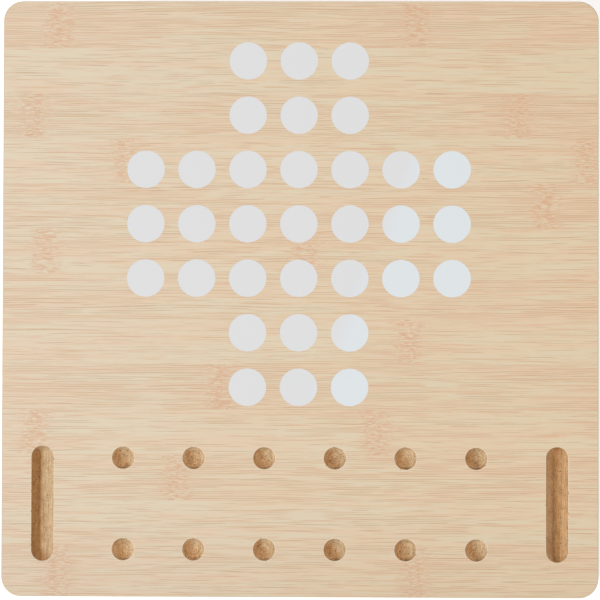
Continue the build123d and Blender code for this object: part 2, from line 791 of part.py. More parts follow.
def pawn():
    """A cone with a ball for a head."""
    head_z = PAWN_HEIGHT - PAWN_HEAD_R
    foot_h = PAWN_BASE_R / 4
    foot_disc = Cylinder(PAWN_BASE_R, foot_h, align=CENTRED)
    body = Pos(0, 0, foot_h) * Cone(
        PAWN_BASE_R - PAWN_FOOT_STEP, PAWN_NECK_R, head_z - foot_h, align=CENTRED
    )
    return foot_disc + body + Pos(0, 0, head_z) * Sphere(PAWN_HEAD_R)


def pawns():
    """Four pawns of each colour, lying side by side along the trough."""
    count = PAWN_COUNT * len(PAWN_COLOURS)
    head_z = PAWN_HEIGHT - PAWN_HEAD_R
    flat = lying(pawn(), PAWN_BASE_R, PAWN_HEAD_R, head_z)
    x_mid = (TROUGH_X0 + DRAWER_IN_X1) / 2
    places = grid(count, 2 * DRAWER_IN_Y / count)
    laid = [
        seated((HALF_TURN if i % 2 else Pos(0, 0, 0)) * flat, x_mid, y)
        for i, y in enumerate(places)
    ]
    return {
        f"pawns_{colour}": laid[i * PAWN_COUNT : (i + 1) * PAWN_COUNT]
        for i, colour in enumerate(PAWN_COLOURS)
    }


# Chess pieces, standing on the origin


def chess_foot(top_z, neck_r=CHESS_NECK_R):
    """The base, ring and tapering body that all chess pieces share."""
    body_z = CHESS_BASE_H + CHESS_RING_H
    base_disc = Cylinder(CHESS_BASE_R, CHESS_BASE_H, align=CENTRED)
    base_disc = fillet(base_disc.edges().group_by(Axis.Z)[-1], CHESS_BASE_H / 3)
    ring = upright(CHESS_RING_R, 0, 0, CHESS_BASE_H, body_z)
    ring = fillet(ring.edges().group_by(Axis.Z)[-1], CHESS_RING_H / 3)
    body = Cone(CHESS_BODY_R, neck_r, top_z - body_z, align=CENTRED)
    return base_disc + ring + Pos(0, 0, body_z) * body


def collar(z):
    """The rounded ring under a chess piece's head, its middle at z."""
    half = CHESS_COLLAR_H / 2
    ring = upright(CHESS_COLLAR_R, 0, 0, z - half, z + half)
    return fillet(ring.edges().filter_by(GeomType.CIRCLE), CHESS_COLLAR_H / 3)


def chess_pawn():
    head_z = CHESS_PAWN_H - CHESS_PAWN_HEAD_R
    neck_z = head_z - CHESS_PAWN_HEAD_R
    head = Pos(0, 0, head_z) * Sphere(CHESS_PAWN_HEAD_R)
    foot_part = chess_foot(neck_z + CHESS_COLLAR_H, CHESS_PAWN_NECK_R)
    return foot_part + collar(neck_z) + head


def rook():
    neck_z = ROOK_H - ROOK_HEAD_H
    head = upright(ROOK_HEAD_R, 0, 0, neck_z, ROOK_H)
    head = fillet(head.edges().group_by(Axis.Z)[0], ROOK_HEAD_R / 4)
    well = upright(ROOK_WELL_R, 0, 0, ROOK_H - ROOK_WELL_DEPTH, ROOK_H)
    reach = ROOK_HEAD_R + ROOK_GAP
    gap_z = ROOK_H - 0.7 * ROOK_WELL_DEPTH
    gap = block(-reach, reach, -ROOK_GAP / 2, ROOK_GAP / 2, gap_z, ROOK_H)
    whole = chess_foot(neck_z + CHESS_COLLAR_H, ROOK_NECK_R) + collar(neck_z) + head
    return whole - well - gap - Rotation(0, 0, 90) * gap


def knight():
    """A horse's head, sawn from flat stock in profile, looking along -Y."""
    neck = (KNIGHT_BACK_X, KNIGHT_BASE_H)
    throat = Polyline(neck, *KNIGHT_THROAT, KNIGHT_MUZZLE)
    brow = Polyline(KNIGHT_MUZZLE, *KNIGHT_BROW, KNIGHT_POLL)
    mane = ThreePointArc(KNIGHT_POLL, KNIGHT_MANE, neck)
    profile = make_face(throat + brow + mane)
    head = extrude(Plane.XZ * profile, KNIGHT_T / 2, both=True)
    head = chamfer(head.faces().filter_by(Axis.Y).edges(), KNIGHT_EYE_R)
    eye_x, eye_z = KNIGHT_EYE
    eye = Cylinder(KNIGHT_EYE_R, 2 * KNIGHT_T)
    eye = Pos(eye_x, 0, eye_z) * Rotation(90, 0, 0) * eye
    foot_part = chess_foot(KNIGHT_BASE_H + CHESS_RING_H, KNIGHT_NECK_R)
    return Rotation(0, 0, -90) * (foot_part + head - eye)


def bishop():
    ball_z = BISHOP_H - BISHOP_BALL_R
    neck_z = BISHOP_HEAD_Z - BISHOP_HEAD_R
    head = Pos(0, 0, BISHOP_HEAD_Z) * Sphere(BISHOP_HEAD_R)
    mitre_z = BISHOP_HEAD_Z + BISHOP_MITRE_IN_HEAD
    mitre_h = ball_z - mitre_z
    mitre = Cone(BISHOP_MITRE_R, BISHOP_MITRE_TIP_R, mitre_h, align=CENTRED)
    ball = Pos(0, 0, ball_z) * Sphere(BISHOP_BALL_R)
    slit = Box(BISHOP_SLIT, 3 * BISHOP_HEAD_R, BISHOP_HEAD_R)
    slit = Rotation(0, BISHOP_SLIT_TURN, 0) * slit
    slit = Pos(BISHOP_SLIT_X, 0, BISHOP_HEAD_Z + BISHOP_SLIT_UP) * slit
    whole = chess_foot(BISHOP_HEAD_Z) + collar(neck_z) + head
    whole += Pos(0, 0, mitre_z) * mitre
    return whole - slit + ball


def crowned(rim_z, crown_r):
    """The flared crown that the queen and the king share, its rim at rim_z."""
    neck_z = rim_z - CROWN_H
    flare = Pos(0, 0, neck_z) * Cone(CROWN_NECK_R, crown_r, CROWN_H, align=CENTRED)
    return chess_foot(neck_z + CHESS_COLLAR_H) + collar(neck_z) + flare


def queen():
    ball_z = QUEEN_H - QUEEN_BALL_R
    rim_z = ball_z - QUEEN_BALL_R / 2
    bite = Pos(QUEEN_CROWN_R, 0, rim_z) * Sphere(QUEEN_BITE_R)
    bites = [Rotation(0, 0, i * 360 / QUEEN_BITES) * bite for i in range(QUEEN_BITES)]
    ball = Pos(0, 0, ball_z) * Sphere(QUEEN_BALL_R)
    return crowned(rim_z, QUEEN_CROWN_R) - bites + ball


def king():
    rim_z = KING_H - KING_CROSS_H - KING_CROSS_T / 2
    dome = Cone(KING_DOME_R, KING_DOME_TOP_R, KING_CROSS_T, align=CENTRED)
    dome = Pos(0, 0, rim_z) * dome
    half_t = KING_CROSS_T / 2
    half_span = KING_CROSS_SPAN / 2
    arm_z1 = KING_H - KING_CROSS_T
    post = block(-half_t, half_t, -half_t, half_t, rim_z + half_t, KING_H)
    arms = block(-half_t, half_t, -half_span, half_span, arm_z1 - 2 * half_t, arm_z1)
    return crowned(rim_z, KING_CROWN_R) + dome + post + arms


def chess_set():
    """Eight pawns and eight officers, lying side by side in two rows."""
    ways = {
        "pawn": (chess_pawn(), CHESS_PAWN_HEAD_R, CHESS_PAWN_H - CHESS_PAWN_HEAD_R),
        "rook": (rook(), ROOK_HEAD_R, ROOK_H),
        "knight": (knight(), KNIGHT_T / 2, KNIGHT_H),
        "bishop": (bishop(), BISHOP_HEAD_R, BISHOP_HEAD_Z),
        "queen": (queen(), QUEEN_CROWN_R, QUEEN_H - QUEEN_BALL_R),
        "king": (king(), KING_CROWN_R, KING_H - KING_CROSS_H),
    }
    flat = {
        name: lying(piece, CHESS_BASE_R, head_r, head_z)
        for name, (piece, head_r, head_z) in ways.items()
    }
    order = ("rook", "knight", "bishop", "queen", "king", "bishop", "knight", "rook")
    places = grid(len(order), CHESS_PITCH)
    y_mid = (CHESS_Y1 - DRAWER_IN_Y) / 2
    pawn_x0 = DRAWER_IN_X0 + CHESS_ROW_GAP
    officer_x0 = pawn_x0 + CHESS_PAWN_H + CHESS_LEAN + CHESS_ROW_GAP

    def set_down(name, x0, y):
        half = flat[name].bounding_box().size.X / 2
        return seated(flat[name], x0 + half, y_mid + y)

    return {
        "pawns": [set_down("pawn", pawn_x0, y) for y in places],
        "officers": [set_down(name, officer_x0, y) for name, y in zip(order, places)],
    }


# The board tray


def tray():
    front_y = -BOX_DEPTH / 2
    face_z0 = Z_SHELF + TRAY_GAP
    face_z1 = Z_LID - TRAY_GAP
    face = block(-TRAY_HALF, TRAY_HALF, front_y, TRAY_FRONT_Y1, face_z0, face_z1)
    face = eased(face, Axis.Y, 0)
    bite_y = (front_y + TRAY_FRONT_Y1) / 2
    bite = Pos(0, bite_y, face_z1) * Rotation(90, 0, 0)
    bite *= Cylinder(TRAY_NOTCH_R, 2 * TRAY_FRONT_T)
    half_flat = TRAY_NOTCH_FLAT / 2
    notch = block(
        -half_flat,
        half_flat,
        front_y - TRAY_FRONT_T,
        TRAY_FRONT_Y1 + TRAY_FRONT_T,
        face_z1 - TRAY_NOTCH_R,
        face_z1 + TRAY_NOTCH_R,
    )
    notch += [Pos(x, 0, 0) * bite for x in (-half_flat, half_flat)]
    inner = TRAY_HALF - TRAY_RIM_T
    floor = block(-TRAY_HALF, TRAY_HALF, TRAY_FRONT_Y1, TRAY_BACK_Y, TRAY_Z0, TRAY_IN_Z)
    rim = block(inner, TRAY_HALF, TRAY_FRONT_Y1, TRAY_BACK_Y, TRAY_IN_Z, TRAY_RIM_Z1)
    back = block(-inner, inner, TRAY_RIM_Y, TRAY_BACK_Y, TRAY_IN_Z, TRAY_RIM_Z1)
    cleat = block(
        TRAY_HALF, IN_X - TRAY_GAP, CLEAT_Y0, CLEAT_Y1, TRAY_Z0, TRAY_RIM_Z1
    )
    flip = Plane.YZ
    return {
        "tray_front": face - notch,
        "tray_base": floor,
        "tray_right_rim": rim,
        "tray_left_rim": mirror(rim, about=flip),
        "tray_back_rim": back,
        "tray_stop_cleats": as_node([cleat, mirror(cleat, about=flip)]),
    }


def game_board(level):
    """A flat reversible board with a half-moon finger cut at its front edge."""
    sheet = RectangleRounded(BOARD_WIDTH, BOARD_DEPTH, BOARD_CORNER_R)
    sheet -= Pos(0, -BOARD_DEPTH / 2) * Circle(BOARD_NOTCH_R)
    y_mid = TRAY_FRONT_Y1 + BOARD_PLAY + BOARD_DEPTH / 2
    z0 = TRAY_IN_Z + level * BOARD_T
    return Pos(0, y_mid, z0) * extrude(sheet, BOARD_T)


def build():
    """Every sub-part by its node's name."""
    nodes = {**base(), **frame(), **top_panel(), **tray()}
    for level in range(BOARD_COUNT):
        nodes[f"game_board_{level + 1}"] = game_board(level)
    chess = chess_set()
    stacks = as_node(counters())
    fillings = {
        "right": {
            "long_partition": long_partition(),
            "cross_partitions": as_node(cross_partitions()),
            "chess_pawns_dark": as_node(chess["pawns"]),
            "chess_officers_dark": as_node(chess["officers"]),
            "counters_dark": stacks,
            "dominoes": as_node(dominoes()),
            **{name: as_node(four) for name, four in pawns().items()},
        },
        "left": {
            "long_partition": long_partition(),
            "cross_partitions": as_node([*cross_partitions(), trough_partition()]),
            "chess_pawns_light": as_node(chess["pawns"]),
            "chess_officers_light": as_node(chess["officers"]),
            "counters_light": stacks,
            "mancala_beads": as_node(beads()),
            "dice": as_node(dice()),
            "pick_up_sticks": as_node(sticks()),
        },
    }
    shell = drawer_shell()
    for side, filling in fillings.items():
        turn = HALF_TURN if side == "left" else Pos(0, 0, 0)
        for name, piece in {**shell, **filling}.items():
            own = "drawer" in name or "partition" in name
            nodes[f"{side}_{name}" if own else name] = turn * piece
    return nodes


def main():
    os.makedirs("parts", exist_ok=True)
    for name, piece in build().items():
        export_step(piece, f"parts/{name}.step")
    print(f"drawer travel {DRAWER_TRAVEL:.1f} mm, tray travel {TRAY_TRAVEL:.1f} mm")


main()
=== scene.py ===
"""Dresses the games box: printed bamboo foil, routed fibreboard, plywood drawers and pieces.

It is laid out as a Blender add-on and run as a script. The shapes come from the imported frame,
in metres; inside the materials every length is in millimetres.
"""

import math

import bmesh
import bpy
import numpy as np
from bpy.props import FloatProperty, FloatVectorProperty, IntProperty, PointerProperty
from mathutils import Euler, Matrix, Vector


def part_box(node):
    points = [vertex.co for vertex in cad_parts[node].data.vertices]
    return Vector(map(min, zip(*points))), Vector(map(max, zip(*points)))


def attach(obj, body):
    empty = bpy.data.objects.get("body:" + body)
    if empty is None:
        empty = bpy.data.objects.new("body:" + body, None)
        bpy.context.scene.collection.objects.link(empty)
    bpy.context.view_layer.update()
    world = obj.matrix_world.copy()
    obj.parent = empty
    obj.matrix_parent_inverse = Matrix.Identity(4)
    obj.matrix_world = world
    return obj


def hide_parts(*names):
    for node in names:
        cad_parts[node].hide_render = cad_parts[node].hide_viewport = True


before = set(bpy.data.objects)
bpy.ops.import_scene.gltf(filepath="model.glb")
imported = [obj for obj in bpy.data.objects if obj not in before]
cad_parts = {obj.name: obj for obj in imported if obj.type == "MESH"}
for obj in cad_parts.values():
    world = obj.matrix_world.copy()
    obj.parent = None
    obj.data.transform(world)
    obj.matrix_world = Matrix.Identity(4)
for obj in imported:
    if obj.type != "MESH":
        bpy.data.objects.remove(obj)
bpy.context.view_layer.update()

bl_info = {
    "name": "Games box",
    "version": (1, 0, 0),
    "blender": (4, 5, 0),
    "location": "3D View > Sidebar > Games box",
    "description": "Dresses a games box with drawers, its boards and its playing pieces",
    "category": "Object",
}

MM = 0.001
WHITE = (1.0, 1.0, 1.0)


def ink(red, green, blue):
    """A colour picked on a screen, 0 to 255, as the linear colour a shader takes."""
    shares = np.array([red, green, blue]) / 255
    linear = np.where(shares <= 0.04045, shares / 12.92, ((shares + 0.055) / 1.055) ** 2.4)
    return tuple(float(share) for share in linear)


def colour_setting(name, description, shade):
    return FloatVectorProperty(
        name=name, description=description, default=ink(*shade), subtype="COLOR", min=0, max=1
    )


def length_setting(name, description, millimetres):
    return FloatProperty(
        name=name, description=description, default=millimetres * MM, subtype="DISTANCE",
        unit="LENGTH", min=0,
    )


# Settings that a user would change


class FoilSettings(bpy.types.PropertyGroup):
    pale: colour_setting("Pale", "Bamboo foil between its streaks", (225, 212, 187))
    blush: colour_setting("Blush", "Ground of the warmer strips", (232, 200, 172))
    tan: colour_setting("Tan", "Soft streaks of the bamboo foil", (214, 183, 149))
    fibre: colour_setting("Fibre", "Fine dark fibres of the bamboo foil", (188, 160, 129))
    pink: colour_setting("Pink", "Warm streaks of the bamboo foil", (217, 173, 144))
    knuckle: colour_setting("Knuckle", "Short dashes in the knuckles", (218, 174, 141))
    fleck: colour_setting("Fleck", "Pale flecks in the knuckles", (238, 220, 197))
    band: colour_setting("Edge band", "Thin band round the panels' edges", (206, 190, 166))
    rosy: colour_setting("Rosy", "Soft edge beside each fibre", (233, 200, 170))
    mellow: colour_setting("Mellow", "Filter over the foil's warmer end", (254, 247, 237))
    # Painted shade: darkens every foil but the top face's, so that the walls don't look over-lit.
    painted_shade_filter: colour_setting("Batch", "Filter over the foil on the other boards", (241, 235, 226))
    strip: length_setting("Strip", "Width of one printed bamboo strip", 22.77)


class BoardCutSettings(bpy.types.PropertyGroup):
    bare: colour_setting("Bare", "Bare fibreboard", (202, 177, 141))
    matted: colour_setting("Matted", "Darker matted fibres", (176, 142, 102))
    # Painted shade: the browner colour given to the shaded side of a cut; in the pits it also
    # deepens the fibres' own dark spots.
    shade_and_tone_filter: colour_setting("Burnish", "Filter where the cutter rubbed", (253, 220, 186))
    speck: colour_setting("Speck", "Dark specks in the fibreboard", (104, 72, 40))
    torn: colour_setting("Torn", "Torn paper round the cuts", (236, 226, 206))


class WoodSettings(bpy.types.PropertyGroup):
    birch: colour_setting("Birch", "Face of the birch plywood", (222, 196, 156))
    birch_line: colour_setting("Birch line", "Grain lines of the plywood", (196, 160, 116))
    glue_ply: colour_setting("Dark ply", "Darker plies on the plywood's edges", (158, 112, 72))
    beech: colour_setting("Beech", "Dowels and cleats", (206, 158, 112))


class PieceSettings(bpy.types.PropertyGroup):
    light: colour_setting("Light men", "Waxed light wood", (224, 186, 132))
    light_grain: colour_setting("Light grain", "Grain of the light men", (196, 148, 92))
    dark: colour_setting("Dark men", "Dark stained wood", (74, 38, 22))
    dark_grain: colour_setting("Dark grain", "Grain of the dark men", (34, 17, 10))
    felt: colour_setting("Felt", "Felt under the chess men", (22, 62, 40))
    lacquer: colour_setting("Dominoes", "Black lacquer of the dominoes", (24, 23, 24))
    pip: colour_setting("Pips", "White filling of the domino pips", (236, 233, 224))
    red: colour_setting("Red", "Red lacquer", (178, 32, 24))
    yellow: colour_setting("Yellow", "Yellow lacquer", (232, 178, 34))
    green: colour_setting("Green", "Green lacquer", (30, 112, 58))
    blue: colour_setting("Blue", "Blue lacquer", (28, 78, 152))
    black: colour_setting("Black", "Black dye of one pick-up stick", (28, 26, 26))
    milk: colour_setting("Milk", "Milky swirl in the glass beads", (232, 234, 230))


class FittingSettings(bpy.types.PropertyGroup):
    rubber: colour_setting("Rubber", "Rubber of the feet", (30, 30, 31))
    dust: colour_setting("Dust", "Dust on the rubber", (52, 51, 50))
    zinc: colour_setting("Zinc", "Zinc of the screws", (196, 198, 204))
    yellowed: colour_setting("Yellowed zinc", "The same zinc where it has yellowed", (214, 208, 190))


class DieSettings(bpy.types.PropertyGroup):
    body: colour_setting("Body", "Ivory-coloured resin", (238, 230, 208))
    pip: colour_setting("Pips", "Paint in the pips", (26, 24, 24))
    size: length_setting("Size", "Edge of a die", 11.0)
    edge: length_setting("Edge radius", "Rounding of a die's edges", 1.6)
    pip_radius: length_setting("Pip radius", "Radius of a pip at the face", 1.05)
    pip_depth: length_setting("Pip depth", "Depth of a pip", 0.42)
    count: IntProperty(name="Count", description="Dice in the bay", default=5, min=1, max=6)


class PrintSettings(bpy.types.PropertyGroup):
    spot: colour_setting("Spots", "White print of the solitaire spots", (221, 221, 222))
    cool: colour_setting("Cool spots", "The same print where it has turned cooler", (221, 226, 229))
    maple: colour_setting("Maple", "Light squares and grounds", (226, 200, 158))
    walnut: colour_setting("Walnut", "Dark squares and lines", (104, 66, 40))


class StageSettings(bpy.types.PropertyGroup):
    floor: colour_setting("Floor", "Plain floor under the box", (247, 247, 247))
    floor_size: length_setting("Floor size", "Edge of the floor", 60000)
    camera_x: length_setting("Camera X", "Camera's place to the right", 11.21)
    camera_up: length_setting("Camera height", "Camera above the floor", 1067.92)
    camera_back: length_setting("Camera back", "Camera's place to the front", 17.83)
    lens: FloatProperty(name="Lens", description="Focal length in mm", default=120, min=10)
    key_power: FloatProperty(
        name="Key light", description="Power of the large light on the left", default=640,
        min=0, subtype="POWER", unit="POWER",
    )
    fill: FloatProperty(name="Fill", description="Strength of the light all round", default=0.6)
    floor_glow: FloatProperty(
        name="Floor glow", description="Light that the floor paper lets through", default=0.4,
    )


GROUPS = {
    "games_box_foil": FoilSettings,
    "games_box_cut": BoardCutSettings,
    "games_box_wood": WoodSettings,
    "games_box_pieces": PieceSettings,
    "games_box_fittings": FittingSettings,
    "games_box_die": DieSettings,
    "games_box_print": PrintSettings,
    "games_box_stage": StageSettings,
}

# Glass of the beads, one colour for each bead
GLASS = (
    ink(24, 84, 150), ink(40, 132, 148), ink(196, 208, 214), ink(150, 38, 40),
    ink(206, 150, 44), ink(46, 112, 70),
)


# Shader maths


class Wire:
    """One output of a shader node, so that shader maths reads like ordinary sums."""

    def __init__(self, finish, socket):
        self.finish = finish
        self.socket = socket

    def math(self, operation, *values):
        inputs = dict(enumerate(values))
        return self.finish.node("ShaderNodeMath", {"operation": operation}, inputs)

    def __add__(self, other):
        return self.math("ADD", self, other)

    def __sub__(self, other):
        return self.math("SUBTRACT", self, other)

    def __rsub__(self, other):
        return self.math("SUBTRACT", other, self)

    def __mul__(self, other):
        return self.math("MULTIPLY", self, other)

    def __truediv__(self, other):
        return self.math("DIVIDE", self, other)

    def __mod__(self, other):
        return self.math("FLOORED_MODULO", self, other)

    def __pow__(self, other):
        return self.math("POWER", self, other)

    def __lt__(self, other):
        return self.math("LESS_THAN", self, other)

    def __gt__(self, other):
        return self.math("GREATER_THAN", self, other)

    def __abs__(self):
        return self.math("ABSOLUTE", self)

    __radd__ = __add__
    __rmul__ = __mul__

    def floor(self):
        return self.math("FLOOR", self)

    def sine(self):
        return self.math("SINE", self)

    def or_more(self, other):
        return self.math("MAXIMUM", self, other)

    def or_less(self, other):
        return self.math("MINIMUM", self, other)

    def rises(self, low, high):
        """Smoothly from 0 at low to 1 at high."""
        settings = {"interpolation_type": "SMOOTHSTEP"}
        inputs = {"Value": self, "From Min": low, "From Max": high}
        return self.finish.node("ShaderNodeMapRange", settings, inputs)

    def within(self, low, high):
        """1 between low and high."""
        return (self > low) * (self < high)


class Finish:
    """A procedural material that is being mixed."""

    def __init__(self, name, **constants):
        self.material = bpy.data.materials.new(name)
        self.material.use_nodes = True
        self.tree = self.material.node_tree
        self.shader = self.tree.nodes["Principled BSDF"]
        for socket, value in constants.items():
            self.shader.inputs[socket.replace("_", " ")].default_value = value
        self.kept = {}

    def node(self, kind, settings=None, inputs=None, output=0):
        """Adds a node: first its settings, then the values or links of its sockets."""
        made = self.tree.nodes.new(kind)
        for key, value in (settings or {}).items():
            if key == "stops":
                self.set_stops(made.color_ramp, value)
            else:
                setattr(made, key, value)
        for key, value in (inputs or {}).items():
            if isinstance(value, Wire):
                self.tree.links.new(value.socket, made.inputs[key])
            else:
                made.inputs[key].default_value = value
        return Wire(self, made.outputs[output])

    def set_stops(self, ramp, stops):
        """Steps of plain colour, each from its own place up to the next."""
        ramp.interpolation = "CONSTANT"
        while len(ramp.elements) < len(stops):
            ramp.elements.new(1)
        for element, (place, shade) in zip(ramp.elements, stops):
            element.position = place
            element.color = (*shade, 1)

    def parts(self, output):
        """The three numbers of a Texture Coordinate output; the object's come in millimetres."""
        if output not in self.kept:
            source = self.node("ShaderNodeTexCoord", output=output)
            if output == "Object":
                settings = {"operation": "SCALE"}
                inputs = {0: source, "Scale": 1 / MM}
                source = self.node("ShaderNodeVectorMath", settings, inputs)
            split = self.node("ShaderNodeSeparateXYZ", None, {0: source})
            sockets = split.socket.node.outputs
            self.kept[output] = [Wire(self, socket) for socket in sockets]
        return self.kept[output]

    def place(self):
        return self.parts("Object")

    def facing(self):
        return self.parts("Normal")

    def point(self, x, y=0, z=0):
        return self.node("ShaderNodeCombineXYZ", None, {0: x, 1: y, 2: z})

    def cloud(self, x, y=0, z=0, detail=2, rough=0.5, twist=0):
        """Smooth noise about 0.5, one unit across each of its lumps."""
        inputs = {"Vector": self.point(x, y, z), "Scale": 1, "Detail": detail}
        inputs.update({"Roughness": rough, "Distortion": twist})
        return self.node("ShaderNodeTexNoise", None, inputs)

    def lumps(self, size, detail=2, rough=0.5, twist=0):
        """The same noise, its lumps one size in mm all ways."""
        x, y, z = (wire / size for wire in self.place())
        return self.cloud(x, y, z, detail, rough, twist)

    def chance(self, x, y=0, z=0):
        """A number from 0 to 1 that is the same wherever x, y and z are."""
        inputs = {"Vector": self.point(x, y, z)}
        return self.node("ShaderNodeTexWhiteNoise", {"noise_dimensions": "3D"}, inputs)

    def steps(self, share, shades):
        """One of several plain colours, by a share from 0 to 1."""
        stops = [(i / len(shades), tuple(shade)) for i, shade in enumerate(shades)]
        return self.node("ShaderNodeValToRGB", {"stops": stops}, {0: share})

    def blend(self, mask, under, over):
        """The colour over where the mask is 1 and under where it is 0."""
        shades = {6: under, 7: over}
        for key, shade in shades.items():
            if not isinstance(shade, Wire):
                shades[key] = (*shade, 1)
        inputs = {0: mask, **shades}
        return self.node("ShaderNodeMix", {"data_type": "RGBA"}, inputs, output=2)

    def shade(self, colour, factor):
        """The colour times a number."""
        inputs = {0: colour, "Scale": factor}
        return self.node("ShaderNodeVectorMath", {"operation": "SCALE"}, inputs)

    def tint(self, colour, filter_colour):
        """The colour seen through another one."""
        inputs = {0: colour, 1: filter_colour}
        return self.node("ShaderNodeVectorMath", {"operation": "MULTIPLY"}, inputs)

    def relief(self, height, depth):
        """A bump of the given depth in mm, from a height of 0 to 1."""
        inputs = {"Height": height, "Distance": depth * MM, "Strength": 1}
        return self.node("ShaderNodeBump", None, inputs)

    def done(self, colour, roughness=None, bump=None):
        """Links what varies over the surface, and gives the material."""
        for socket, wire in (("Base Color", colour), ("Roughness", roughness), ("Normal", bump)):
            if wire is not None:
                self.tree.links.new(wire.socket, self.shader.inputs[socket])
        return self.material


def settings(name):
    """One group of the scene's settings."""
    return getattr(bpy.context.scene, "games_box_" + name)


def dress(node, material):
    """Gives a CAD node its material."""
    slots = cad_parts[node].material_slots
    if not slots:
        raise RuntimeError(f"{node} has no material slot")
    for slot in slots:
        slot.material = material


# Bamboo foil

# Where the printed bamboo has its knuckles, strip by strip from the front edge, in mm from the
# middle: two to a strip, and FAR where a strip shows only one.
FAR = 400.0
KNUCKLES = (
    (-122.0, 58.0), (FAR, FAR), (-62.0, FAR), (-133.0, 38.0), (-40.0, FAR),
    (54.0, FAR), (FAR, FAR), (-128.0, 3.0), (123.0, FAR), (-87.0, 144.0),
    (-135.0, 110.0), (FAR, FAR), (-122.0, 58.0), (FAR, FAR),
)
# The knuckles' distance on the other panels, where their places aren't known
KNUCKLE_PITCH = 210.0
KNUCKLE_SHIFT = 300.0
# From how far to how far a knuckle fades out, and the crowding of fibres round it
KNUCKLE_FADE = (2, 11)
TAIL_FADE = (4, 42)
STRIP_START = -147.0
BOARD_HALF = 150.0
FINE_PITCH = 0.92
BROAD_PITCH = 1.7


def knuckle_gap(finish, strip, along):
    """How far a point lies from its strip's nearest knuckle, in mm."""
    count = len(KNUCKLES)
    span = 2 * FAR
    stops = [
        (i / count, ((first + FAR) / span, (second + FAR) / span, 0))
        for i, (first, second) in enumerate(KNUCKLES)
    ]
    ramp = finish.node("ShaderNodeValToRGB", {"stops": stops}, {0: (strip + 0.5) / count})
    split = finish.node("ShaderNodeSeparateColor", None, {0: ramp})
    gaps = [
        abs(along - (Wire(finish, socket) * span - FAR))
        for socket in split.socket.node.outputs[:2]
    ]
    return gaps[0].or_less(gaps[1])


def fibres(finish, along, lane, pitch, seed, crowd):
    """Thin lines about a pitch apart, each fading in and out on its own along the strip.

    They come as (lines, soft edges beside the lines).
    """
    sway = finish.cloud(along / 70, lane / 5, seed, 1) - 0.5
    row = lane / pitch + sway * 3
    index = row.floor()
    own = finish.chance(index, seed)
    from_line = abs(row - index - 0.5)
    thin = 1 - (from_line - own * 0.14).rises(0.02, 0.2)
    beside = 1 - from_line.rises(0.05, 0.5)
    shown = (finish.cloud(along / 24 + own * 90, index * 1.7, seed, 3) + crowd).rises(0.42, 0.6)
    return thin * shown, beside * shown


def bamboo(finish, along, across, seed, on_top=False):
    """Bamboo strips side by side, as (colour, height).

    Each strip has its own tone and its own fibres: fine ones, and broader warmer ones between
    them, crowded in some bands and nearly missing in others, where the ground is paler too. The
    rosy edge beside a fibre is softer and wider than the fibre itself. Near a knuckle the fibres
    kink and give way to short dashes with pale flecks between them.
    """
    foil = settings("foil")
    strip_place = (across - STRIP_START) / (foil.strip / MM)
    strip = strip_place.floor()
    own = finish.chance(strip, seed)
    other = finish.chance(strip, seed, 7)
    if on_top:
        gap = knuckle_gap(finish, strip, along)
    else:
        gap = abs((along + own * KNUCKLE_SHIFT) % KNUCKLE_PITCH - KNUCKLE_PITCH / 2)
    ragged = finish.cloud(along / 4, across / 1.3, seed, 2)
    near = 1 - (gap + (ragged - 0.5) * 16).rises(*KNUCKLE_FADE)
    tail = 1 - gap.rises(*TAIL_FADE)
    waver = finish.cloud(along / 60, across / 18, strip * 3.1 + seed) - 0.5
    kink = finish.cloud(along / 2.6, across / 1.5, strip * 5.3 + seed) - 0.5
    lane = across + waver * 1.9 + kink * (near * 0.9 + 0.16)
    shift = own * 40
    band = finish.cloud(along / 90 + shift, lane / 5.5, strip * 1.9 + seed, 2)
    dash = finish.cloud(along / 4.2, lane / 0.5, strip * 6.1 + seed, 1)
    fleck = finish.cloud(along / 2.2, lane / 0.7, strip * 7.7 + seed, 1).rises(0.56, 0.68)
    crowd = (0.5 - strip % 2) * 0.045 + (other - 0.5) * 0.04 + tail * 0.04 + (band - 0.5) * 0.2
    fine, fine_edge = fibres(finish, along, lane, FINE_PITCH, strip * 4.9 + seed, crowd)
    broad, broad_edge = fibres(finish, along, lane, BROAD_PITCH, strip * 2.7 + seed + 40, crowd)
    dashes = (dash + crowd * 0.3).rises(0.46, 0.57) * (1 - fleck * 0.5)
    warm = finish.cloud(along / 80, lane / 5, strip * 9.1 + seed, 2)
    flush = (warm + crowd).rises(0.38, 0.6)
    dense = fine * 0.6 + broad * 0.4
    thread = finish.blend(flush * 0.9, foil.tan, foil.pink)
    ground = finish.blend(flush * 0.35, foil.pale, foil.blush)
    edge = (fine_edge + broad_edge) * 0.38
    ground = finish.blend(edge * (1 - near), ground, foil.rosy)
    colour = finish.blend(broad * 0.26 * (1 - near), ground, thread)
    colour = finish.blend(fine * 0.52 * (1 - near * 0.4), colour, foil.fibre)
    colour = finish.blend(near * 0.09, colour, foil.pink)
    colour = finish.blend(fleck * near * 0.5, colour, foil.fleck)
    colour = finish.blend(dashes * near * 0.76, colour, foil.knuckle)
    colour = finish.shade(colour, 0.965 + own * 0.016)
    seam_gap = abs((strip_place - strip) - 0.5)
    seam = seam_gap.rises(0.485, 0.5) * other.rises(0.2, 0.8)
    colour = finish.blend(seam * 0.35, colour, foil.tan)
    drift = (along / BOARD_HALF).rises(-1.6, 1.6)
    return finish.tint(colour, finish.blend(drift, WHITE, foil.mellow)), dense


def foil_finish(name):
    """Printed foil under a thin satin coat."""
    return Finish(name, Coat_Weight=0.08, Coat_Roughness=0.35, Specular_IOR_Level=0.35)


# Where the routed cuts lie on the top face, in mm
PIT_PITCH = 35.5
PIT_COUNT = 6
PIT_ROW_Y = -103.2
PIT_ROW_HALF = 22.95
GROOVE_X = 129.3
GROOVE_HALF = 23.0
CUT_RADIUS = 5.66


